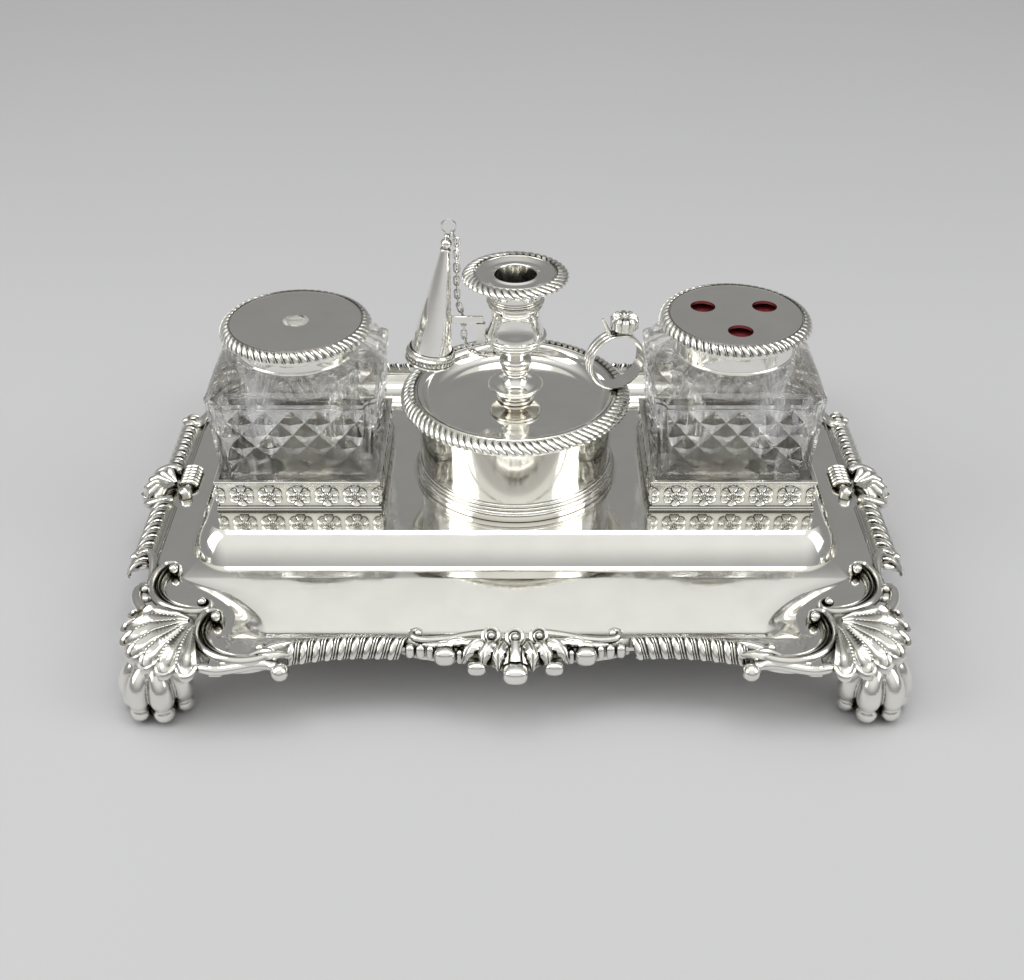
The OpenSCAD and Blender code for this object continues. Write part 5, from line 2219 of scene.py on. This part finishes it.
@dataclass
class QuillDisc:
    """Red disc under the right cap, on which the quills stand."""

    layout: Layout

    def build(self, shop: Workshop) -> None:
        """Builds the disc.

        Args:
            shop: Makes the pieces.
        """
        low, high = box("quill_disc")
        r = (high.x - low.x) / 2
        profile = softened([
            (0, low.z), (r, low.z), (r, high.z - 0.3), (r - 2, high.z), (0, high.z)], 0.4)
        shop.piece(
            "quill_pad", revolved(profile).moved(x=self.layout.well_x), Finish.LEATHER,
            Body.RIGHT_CAP, "quill_disc")


# ---- wafer box and chamberstick


@dataclass
class WaferBox:
    """Plain drum with a bead under its lid and mouldings at its foot."""

    layout: Layout
    radius: float = 40.7
    wall: float = 1.4
    foot_w: float = 1.9
    foot_h: float = 7.6

    def build(self, shop: Workshop) -> None:
        """Builds the drum and its foot.

        Args:
            shop: Makes the pieces.
        """
        low, seat, r = self.layout.deck, self.layout.seat, self.radius
        drum = softened([
            (0, low + 0.02), (r, low + 0.02), (r, seat - 3.0), (r + 0.65, seat - 2.7),
            (r + 0.65, seat - 1.4), (r, seat - 1.0), (r, seat), (r - self.wall, seat),
            (r - self.wall, low + self.wall), (0, low + self.wall)], 0.35)
        shop.piece("wafer_drum", revolved(drum, 144), Finish.POLISHED, Body.TRAY, "wafer_box")
        foot = [(r + 0.1, low + 0.02)]
        for out, z0, z1 in (
                (self.foot_w, 0.02, 2.6), (self.foot_w - 0.35, 2.8, 4.6),
                (self.foot_w * 0.5, 4.8, 6.0), (self.foot_w * 0.3, 6.1, self.foot_h)):
            z = low + (z0 + z1) / 2
            foot += arc(r + out - (z1 - z0) * 0.28, z, (z1 - z0) / 2, -80, 80, 6)
        foot = [(min(x, r + self.foot_w), max(z, low + 0.02)) for x, z in foot]
        foot.append((r + 0.1, low + self.foot_h))
        shop.piece(
            "drum_mouldings", revolved(foot, 144, looped=True), Finish.POLISHED, Body.TRAY,
            "wafer_box_foot_ring")


@dataclass
class GadroonRim:
    """Rim of slanted ribs round a dish or a pan."""

    inner: float
    outer: float
    top: float
    height: float
    lobes: int
    flare: float
    rib_share: float = 0.46

    def core(self) -> list[Pair]:
        """Closed section under the ribs.

        Returns:
            Points round the section.
        """
        a, b, z, h = self.inner, self.outer, self.top, self.height
        return softened([
            (a, z - h * 0.6), (a, z - 0.2), (a + 0.35, z + 0.05), (a + 0.8, z - 0.25),
            (mix(a, b, 0.6), z - h * 0.3), (b - 1.9, z - h * 0.55), (b - 2.0, z - h * 0.85),
            (mix(a, b, 0.5), z - h + 0.2)], 0.3, 2)

    def rib(self) -> Shape:
        """One rib: x out from the inner radius, y round, z up from the top.

        Returns:
            The rib.
        """
        w, h = self.outer - self.inner, self.height
        pitch = math.tau * mix(self.inner, self.outer, 0.7) / self.lobes
        rings = []
        for k in range(10):
            t = k / 9
            a = math.radians(mix(10, 100, t))
            x = mix(0.6, w - 0.72, math.sin(a))
            z = mix(-0.2, -h + 0.9, 1 - math.cos(a * 0.88))
            r = pitch * self.rib_share * (1.15 * math.sin(math.pi * mix(0.12, 0.78, t)) ** 0.55)
            ahead = Vector((math.cos(a), 0, -math.sin(a)))
            normal = Vector((-ahead.z, 0, ahead.x))
            along = self.flare * pitch * (t - 0.5)
            rings.append([
                Vector((x, along + p * r, z)) + normal * q * 0.75
                for p, q in arc(0, 0, 1, 0, 324, 9)])
        return lofted(rings)

    def rows(self) -> list[Row]:
        """The ribs round the rim."""
        circle = [Vector((*polar(self.inner, a), self.top)) for a in range(0, 360, 3)]
        return [Row(circle, self.rib(), self.lobes, looped=True)]


@dataclass
class Chamberstick:
    """Lid of the wafer box: dish, stem, candle socket and ring handle."""

    layout: Layout
    dish_t: float = 1.2
    lip_r: float = 41.0
    locate_r: float = 38.9
    belly: float = 12.9
    bore: float = 9.2
    yaw: float = 20.0
    ring_x: float = 41.1
    ring_z: float = 18.7
    ring_r: float = 12.5

    def dish(self, shop: Workshop) -> None:
        """Builds the dish and its gadroon rim.

        Args:
            shop: Makes the pieces.
        """
        seat, t = self.layout.seat, self.dish_t
        floor = box("stem")[0].z
        lip = box("dish_rim")[1].z - 0.4
        upper = [
            (0, floor - 0.05), (12, floor - 0.15), (25, floor - 0.55), (33, floor - 1.05),
            (35.6, floor - 0.6), (37.6, floor + 1.2), (38.9, lip - 0.8), (39.6, lip - 0.2),
            (40.2, lip)]
        a = self.locate_r
        profile = softened(upper, 1.4, 4) + [
            (self.lip_r, lip), (self.lip_r, seat + 0.1), (a, seat + 0.1), (a, seat - 3.4),
            (a - 1, seat - 3.4), (a - 1, seat)]
        profile += [(33, floor - 1.05 - t), (25, floor - 0.55 - t), (0, floor - t)]
        shop.piece(
            "dish_plate", revolved(profile, 160), Finish.POLISHED, Body.CHAMBERSTICK, "dish",
            crease=40)
        low, high = box("dish_rim")
        rim = GadroonRim(
            self.lip_r + 0.1, high.x - 0.1, high.z - 0.35, high.z - low.z - 0.4, 92, 1.5)
        shop.piece(
            "dish_gadroons", revolved(rim.core(), 144, looped=True), Finish.CHASED,
            Body.CHAMBERSTICK, "dish_rim", rows=rim.rows())

    def stem(self, shop: Workshop) -> None:
        """Builds the turned stem.

        Args:
            shop: Makes the pieces.
        """
        z, top = (corner.z for corner in box("stem"))
        profile = [(0, z)] + arc(7.2, z + 0.55, 0.6, -80, 80, 5) + arc(
            6.2, z + 1.65, 0.5, -80, 80, 5)
        profile += [(4.6, z + 2.3), (4.0, z + 2.9), (4.3, z + 3.6), (6.6, z + 4.8)]
        profile += arc(10.3, z + 5.9, 0.55, -80, 60, 6) + arc(10.7, z + 6.8, 0.7, -50, 80, 6)
        profile += [(9.3, z + 7.5)] + arc(10.4, z + 13.4, 5.9, 260, 190, 10)
        profile += arc(4.7, z + 14.2, 1.15, -75, 75, 6) + [(4.7, z + 15.5)]
        profile += arc(4.8, z + 17.8, 2.1, -75, 80, 10) + [(4.6, z + 20.2), (5.0, top), (0, top)]
        shop.piece(
            "turned_stem", revolved(profile, 72), Finish.POLISHED, Body.CHAMBERSTICK, "stem",
            crease=50)

    def socket(self, shop: Workshop) -> None:
        """Builds the candle socket with its lug and eye.

        Args:
            shop: Makes the pieces.
        """
        z = box("stem")[1].z
        top = box("candle_socket")[1].z
        b = self.belly
        outer = [(0, z)] + [
            (p.x, z + p.y)
            for p in smooth_path([(5.0, 0, 0), (6.1, 1.1, 0), (8.7, 3.8, 0), (11.1, 6.3, 0)], 5)]
        outer += arc(11.6, z + 7.2, 0.7, -70, 75, 5) + arc(b - 0.85, z + 8.8, 0.85, -75, 80, 7)
        outer += [
            (p.x, z + p.y)
            for p in smooth_path([
                (11.7, 9.9, 0), (11.4, 11.4, 0), (10.8, 13.4, 0), (10.25, 15.8, 0), (9.95, 18.2, 0),
                (10.1, 20.4, 0), (10.8, 22.4, 0)], 4)]
        outer += arc(10.8, z + 22.9, 0.5, -80, 80, 4) + [
            (10.9, z + 23.6), (11.7, z + 24.1), (11.7, z + 24.6), (11.2, top), (self.bore, top),
            (self.bore, z + 6), (0, z + 6)]
        shape = revolved(outer, 96)
        hook = box("extinguisher_hook")
        lug_x = hook[1].x - 1.0
        lug = [(-1.75, -1.25), (1.9, -1.25), (1.9, 1.25), (-1.75, 1.25)]
        hole = [(-1.15, -0.65), (1.15, -0.65), (1.15, 0.65), (-1.15, 0.65)]
        lug_top = hook[1].z - 3.1
        rings = [
            [Vector((lug_x + x, y, lug_top + dz)) for x, y in pts]
            for pts, dz in ((lug, -9), (lug, 0), (hole, 0), (hole, -9))]
        shape.add(lofted(rings, looped=True))
        eye = [Vector((-8 + x, 0, z + 0.6 + y)) for x, y in arc(0, 0, 1.3, 0, 345, 23)]
        shape.add(ring_bar(eye, 0.35))
        shop.piece(
            "socket_cup", shape, Finish.POLISHED, Body.CHAMBERSTICK, "candle_socket", crease=40)

    def handle(self, shop: Workshop) -> None:
        """Builds the ring handle and the flower that the thumb rests on.

        Args:
            shop: Makes the pieces.
        """
        x, z, r = self.ring_x, self.layout.seat + self.ring_z, self.ring_r
        half = 3.5
        section = [(r - 1.1, half), (r - 1.1, -half)]
        for k in range(3):
            middle = mix(-half, half, (k + 0.5) / 3)
            for a in range(0, 181, 20):
                section.append((r - 0.45 + 0.42 * sine(a), middle - (half / 3 - 0.06) * cosine(a)))
        spur = [Vector((-2.8 - 3.3 * t, 0, r - 0.4 + 7.6 * t)) for t in (0, 0.3, 0.6, 0.85, 1)]
        shape = revolved(section, 120, looped=True).turned(90, "X")
        shape.add(
            block((-3.2, -2.0, -r - 0.9), (3.2, 2.0, -r - 0.1), 0.3),
            tube(spur, lambda t: mix(1.1, 0.45, t), 10))
        turn = Matrix.Translation((x, 0, z)) @ spin(self.yaw)
        shop.piece(
            "finger_ring", shape.placed(turn), Finish.POLISHED, Body.CHAMBERSTICK, "ring_handle",
            crease=40)

        def outline(a: float) -> float:
            """Radius at an angle in degrees."""
            return 5.9 * (0.9 + 0.1 * abs(cosine(5 * a)) ** 0.6)

        def height(s: float, a: float) -> float:
            """Height at a share of the radius and an angle.

            Args:
                s: Share of the radius.
                a: Angle in degrees.

            Returns:
                The height.
            """
            petal = abs(cosine(5 * a))
            groove = 0.9 * (1 - petal ** 0.5) * ease(s / 0.5) + 0.35 * bump(petal, 1, 0.02) * bump(
                s, 0.65, 0.2)
            fall = 1.3 * ease((s - 0.82) / 0.18)
            return 5.2 - groove + 0.7 * bump(s, 0, 0.16) - 0.6 * bump(s, 0.27, 0.07) - fall

        flower = heightfield(outline, height, 80, 14, 0.0).moved(3.6, 0, r + 2.0)
        flower.add(block((-0.1, -2.4, r - 1.3), (7.0, 2.4, r + 2.3), 0.5))
        shop.piece(
            "thumb_rosette", flower.placed(turn), Finish.CHASED, Body.CHAMBERSTICK, "thumb_flower")

    def build(self, shop: Workshop) -> None:
        """Builds the fixed parts of the chamberstick.

        Args:
            shop: Makes the pieces.
        """
        self.dish(shop)
        self.stem(shop)
        self.socket(shop)
        self.handle(shop)


def ring_bar(centres: Sequence[Vector], radius: float, sides: int = 8) -> Shape:
    """Closed ring of round wire through points that lie in an upright plane.

    Args:
        centres: Points along the middle of the wire.
        radius: Radius of the wire.
        sides: Sides of its section.

    Returns:
        The shape.
    """
    rings = []
    n = len(centres)
    middle = sum(centres, Vector()) / n
    for i, p in enumerate(centres):
        ahead = (centres[(i + 1) % n] - centres[i - 1]).normalized()
        out = (p - middle).normalized()
        side = ahead.cross(out)
        rings.append([
            p + out * a + side * b for a, b in arc(0, 0, radius, 0, 360 - 360 / sides, sides - 1)])
    return lofted(rings, looped=True)


@dataclass
class Nozzle:
    """Loose nozzle: a sleeve in the socket under a flared pan."""

    out: float = 9.1
    wall: float = 0.6
    rim_w: float = 6.2

    def build(self, shop: Workshop) -> None:
        """Builds the sleeve, the pan and its gadroon rim.

        Args:
            shop: Makes the pieces.
        """
        lip = box("candle_socket")[1].z
        low, high = box("nozzle_rim")
        pan, r = high.z, high.x - 0.1
        inner = r - self.rim_w
        bore = self.out - self.wall
        profile = [
            (bore, lip - 12), (self.out, lip - 12), (self.out, lip + 0.02), (10.6, lip + 0.02),
            (11.2, lip + 0.4), (11.2, lip + 0.8), (10.4, lip + 1.2), (10.2, lip + 2.2)]
        for i in range(9):
            a = 90 * i / 8
            profile.append((
                mix(10.2, inner + 0.4, 1 - cosine(a)), mix(lip + 2.4, pan - 1.7, sine(a))))
        profile += [
            (inner + 0.4, pan - 0.6), (inner - 0.6, pan - 0.75), (inner - 3, pan - 1.5),
            (bore + 1.8, pan - 1.5), (bore + 0.9, pan - 1.1), (bore + 0.5, pan - 0.9),
            (bore, pan - 1.3)]
        shop.piece(
            "nozzle_pan", revolved(softened(profile + [profile[0]], 0.25, 2)[:-1], 96, looped=True),
            Finish.POLISHED, Body.NOZZLE, "nozzle", crease=40)
        rim = GadroonRim(inner + 0.1, r, pan - 0.3, pan - low.z - 0.3, 40, 1.3, 0.44)
        shop.piece(
            "nozzle_gadroons", revolved(rim.core(), 96, looped=True), Finish.CHASED, Body.NOZZLE,
            "nozzle_rim", rows=rim.rows())


@dataclass
class Extinguisher:
    """Conical extinguisher with a beaded foot, a finial with a ring and an angled hook."""

    layout: Layout
    x: float = 35.5
    lean: float = 9.0
    length: float = 49.5
    foot_r: float = 10.4
    cone_r: float = 8.8
    tip_r: float = 1.9
    foot_l: float = 6.0
    mouth_z: float = 18.4
    eye_z: float = 10.2
    eye_r: float = 2.85
    eye_wire: float = 0.42

    def place(self) -> Matrix:
        """Where the cone stands, with its mouth at its origin."""
        z = self.layout.seat + self.mouth_z
        return Matrix.Translation((-self.x, 0, z)) @ spin(self.lean, "Y")

    def build(self, shop: Workshop) -> None:
        """Builds cone, foot, finial and hook.

        Args:
            shop: Makes the pieces.
        """
        place = self.place()
        wall = 0.8
        z0, z1 = self.foot_l - 1.9, self.length
        cone = [
            (0, z1), (self.tip_r, z1), (self.cone_r, z0), (self.cone_r - wall, z0),
            (self.tip_r - 0.6, z1 - 6), (0, z1 - 6)]
        shop.piece(
            "snuffer_cone", revolved(cone, 72).placed(place), Finish.POLISHED, Body.EXTINGUISHER,
            "extinguisher_cone")
        r = self.foot_r
        foot = [
            (r - 1.6, 0.3), (r - 0.8, 0), (r - 0.2, 0.15), (r, 0.6), (r - 0.25, 1.05),
            (r - 0.7, 1.25), (r - 0.75, 3.0), (r - 0.35, 3.2), (r - 0.05, 3.6), (r - 0.25, 4.1),
            (r - 0.9, 4.5), (self.cone_r + 0.55, 5.0), (self.cone_r + 0.7, 5.5),
            (self.cone_r + 0.4, self.foot_l), (self.cone_r + 0.05, self.foot_l - 0.1),
            (self.cone_r + 0.15, z0 - 0.1), (self.cone_r - 0.9, z0 - 0.15),
            (self.cone_r - 0.6, 1.0)]
        circle = [place @ Vector((*polar(r - 0.75, a), 2.15)) for a in range(0, 360, 5)]
        bead = ball((0, 0, 0), 0.7, 1.2, 8)
        shop.piece(
            "snuffer_foot", revolved(foot, 72, looped=True).placed(place), Finish.CHASED,
            Body.EXTINGUISHER, "extinguisher_foot",
            rows=[Row(circle, bead, 36, looped=True, upright=False)])
        self.finial(shop, place)
        self.hook(shop)

    def finial(self, shop: Workshop, place: Matrix) -> None:
        """Builds the turned finial and its ring.

        Args:
            shop: Makes the pieces.
            place: Where the cone stands.
        """
        profile = softened([(0, 0), (2.2, 0), (2.2, 0.7), (1.2, 1.2)], 0.2, 2)
        profile += arc(0.6, 3.2, 1.7, -70, 70, 8) + [(0.9, 5.8), (1.35, 6.3), (0.9, 7.0), (0, 7.15)]
        shape = revolved(profile, 32)
        eye = [Vector((x, 0, self.eye_z + y)) for x, y in arc(0, 0, self.eye_r, 0, 350, 35)]
        shape.add(ring_bar(eye, self.eye_wire))
        shape = shape.moved(z=self.length + 0.1)
        shop.piece(
            "snuffer_finial", shape.placed(place), Finish.CHASED, Body.EXTINGUISHER,
            "extinguisher_finial")

    def hook(self, shop: Workshop) -> None:
        """Builds the hook of flat bar that hangs the cone from the socket.

        Args:
            shop: Makes the pieces.
        """
        low, high = box("extinguisher_hook")
        bar = block((low.x, low.y, high.z - 3), (high.x, high.y, high.z), 0.12)
        leg = block((high.x - 2, low.y, low.z), (high.x, high.y, high.z - 2.9), 0.12)
        shop.piece(
            "snuffer_hook", Shape().add(bar, leg), Finish.POLISHED, Body.EXTINGUISHER,
            "extinguisher_hook")


@dataclass
class Chain:
    """Fine chain from the extinguisher's ring to the eye under the socket."""

    layout: Layout
    wire: float = 0.35
    length: float = 3.7
    width: float = 1.5
    pitch: float = 3.0

    def link(self) -> Shape:
        """One oval link, long along z and wide along x.

        Returns:
            The link.
        """
        straight = (self.length - self.width) / 2
        r = self.width / 2 + self.wire
        places = [Vector((x, 0, straight + z)) for x, z in arc(0, 0, r, 0, 180, 8)]
        places += [Vector((x, 0, z - straight)) for x, z in arc(0, 0, r, 180, 360, 8)]
        rings = []
        n = len(places)
        for i, p in enumerate(places):
            ahead = (places[(i + 1) % n] - places[i - 1]).normalized()
            side = Vector((0, 1, 0))
            out = ahead.cross(side)
            rings.append([p + out * a + side * b for a, b in arc(0, 0, self.wire, 0, 300, 5)])
        return lofted(rings, looped=True)

    def build(self, shop: Workshop) -> None:
        """Builds the chain along its route.

        Args:
            shop: Makes the pieces.
        """
        cup = box("stem")[1].z
        pan = box("nozzle_rim")[1].z
        lip = box("candle_socket")[1].z
        hook = box("extinguisher_hook")[1].z
        top = Extinguisher(self.layout)
        eye = top.place() @ Vector((0, 0, top.length + top.eye_z))
        route = [
            (eye.x + 2, 0, eye.z - 3.8), (eye.x + 3, 0.2, eye.z - 6.6), (-23.5, 2.2, pan + 3),
            (-23.4, 3.8, lip - 2), (-21.4, 3.2, hook - 2), (-20.9, 2.4, cup + 5.7),
            (-18.4, 1.4, cup + 1.4), (-14.4, 0.5, cup - 0.3), (-10.5, 0, cup - 0.05)]
        path = smooth_path(route, 12)
        length = sum((b - a).length for a, b in zip(path, path[1:]))
        count = 2 * round(length / self.pitch / 2) + 1
        shape = Shape()
        walked, k = 0.0, 0
        item = self.link()
        for a, b in zip(path, path[1:]):
            step = (b - a).length
            while k < count and k * length / (count - 1) <= walked + step + 1e-6:
                place = a.lerp(b, (k * length / (count - 1) - walked) / step)
                ahead = (b - a).normalized()
                turn = (Matrix.Rotation(math.atan2(ahead.x, ahead.z), 4, "Y") @ Matrix.Rotation(
                    -math.asin(ahead.y), 4, "X") @ spin(90 if k % 2 == 0 else 0))
                shape.add(item.placed(Matrix.Translation(place) @ turn))
                k += 1
            walked += step
        shop.piece(
            "snuffer_chain", shape, Finish.CHASED, Body.CHAMBERSTICK, "chain",
            bend=(Body.EXTINGUISHER, Vector((0, 0, cup + 2)), Vector((0, 0, eye.z - 9))))


# ---- studio


@dataclass
class Studio:
    """Pale floor, soft light and the camera."""

    floor_colour: Colour = (0.56, 0.56, 0.57)
    floor_r: float = 6000.0
    camera_place: Triple = (0.0, -511.0, 371.9)
    pitch: float = 33.9
    lens: float = 49.18
    sensor: float = 36.0
    shift_x: float = -0.0034
    horizon: Colour = (0.27, 0.27, 0.268)
    zenith: Colour = (0.84, 0.84, 0.82)
    bright_way: Triple = (0.0, -0.3, 0.95)
    bright_span: Pair = (0.32, 0.85)
    softboxes: Sequence[tuple[str, Triple, Pair, float]] = (
        ("softbox_left", (-900, -350, 700), (600, 800), 3.8),
        ("softbox_right", (900, -350, 700), (600, 800), 3.2),
        ("softbox_top", (0, -150, 1300), (900, 600), 4.6))
    aim_z: float = 60.0

    def floor(self) -> None:
        """Builds the floor."""
        points = [Vector((*polar(self.floor_r, a), 0)) for a in range(0, 360, 6)]
        mesh = new_mesh("floor", Shape(points, [tuple(range(len(points)))]))
        floor = new_object("floor", mesh)
        made = NodeMaterial("pale_floor")
        made.shader.inputs["Roughness"].default_value = 0.95
        made.shader.inputs["Specular IOR Level"].default_value = 0.1
        tone = made.noise(4, 2)
        darker = tuple(c * 0.97 for c in self.floor_colour)
        made.links.new(
            made.blend(tone, darker, self.floor_colour), made.shader.inputs["Base Color"])
        floor.data.materials.append(made.material)

    def world(self) -> None:
        """Builds the sky: dark grey low behind, pale above and in front."""
        world = bpy.data.worlds.new("studio")
        bpy.context.scene.world = world
        world.use_nodes = True
        sky = ShaderTree(world.node_tree)
        dot = sky.nodes.new("ShaderNodeVectorMath")
        dot.operation = "DOT_PRODUCT"
        dot.inputs[1].default_value = Vector(self.bright_way).normalized()
        sky.links.new(sky.nodes.new("ShaderNodeTexCoord").outputs["Generated"], dot.inputs[0])
        share = sky.spread(dot.outputs["Value"], self.bright_span, (0, 1), "SMOOTHSTEP")
        background = sky.nodes["Background"].inputs
        sky.links.new(sky.blend(share, self.horizon, self.zenith), background["Color"])
        background["Strength"].default_value = 1.0

    def lamp(self, name: str, place: Sequence[float], size: Pair, power: float) -> None:
        """Builds a soft box that faces the object.

        Args:
            name: Name of the lamp.
            place: Where it stands, in millimetres.
            size: Width and height in millimetres.
            power: Power in watts.
        """
        data = bpy.data.lights.new(name, "AREA")
        data.shape = "RECTANGLE"
        data.size, data.size_y = size[0] * MM, size[1] * MM
        data.energy = power
        lamp = new_object(name, data)
        lamp.location = Vector(place) * MM
        aim = Vector((0, 0, self.aim_z)) * MM
        lamp.rotation_euler = (aim - lamp.location).to_track_quat("-Z", "Y").to_euler()

    def camera(self) -> None:
        """Builds the camera."""
        data = bpy.data.cameras.new("camera")
        data.lens, data.sensor_width, data.shift_x = self.lens, self.sensor, self.shift_x
        data.clip_start, data.clip_end = 0.01, 50
        camera = new_object("camera", data)
        camera.location = Vector(self.camera_place) * MM
        camera.rotation_euler = (math.radians(90 - self.pitch), 0, 0)
        bpy.context.scene.camera = camera

    def build(self) -> None:
        """Builds the studio."""
        self.floor()
        self.world()
        for softbox in self.softboxes:
            self.lamp(*softbox)
        self.camera()
        bpy.context.scene.view_settings.view_transform = "Standard"
        LOG.info("studio: floor, world, three soft boxes and the camera")


# ---- main


def main() -> None:
    """Builds the whole inkstand and its studio."""
    logging.basicConfig(level=logging.INFO, format="%(message)s")
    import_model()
    layout = Layout.from_frame(SHEET)
    shop = Workshop(Repeater(), {kind: finish.build() for kind, finish in FINISHES.items()})
    sheet = TraySheet(layout)
    sheet.build(shop)
    GadroonBorder(layout, sheet).build(shop)
    CornerShell(layout).build(shop)
    CentreShell(layout).build(shop)
    SideShell(layout).build(shop)
    PawFoot(layout).build(shop)
    for name, sign in (("left", -1), ("right", 1)):
        Gallery(layout).build(shop, name, sign)
    quill_holes = [(*polar(14.6, a), 5.1) for a in (30, 150, 270)]
    Inkwell(layout, "left", -1, [(0, 0, 5.3)], Body.LEFT_INKWELL, Body.LEFT_CAP).build(shop)
    Inkwell(layout, "right", 1, quill_holes, Body.RIGHT_INKWELL, Body.RIGHT_CAP).build(shop)
    QuillDisc(layout).build(shop)
    WaferBox(layout).build(shop)
    Chamberstick(layout).build(shop)
    Nozzle().build(shop)
    Extinguisher(layout).build(shop)
    Chain(layout).build(shop)
    Studio().build()
    LOG.info("%d pieces", shop.made)


if __name__ == "__main__":
    main()
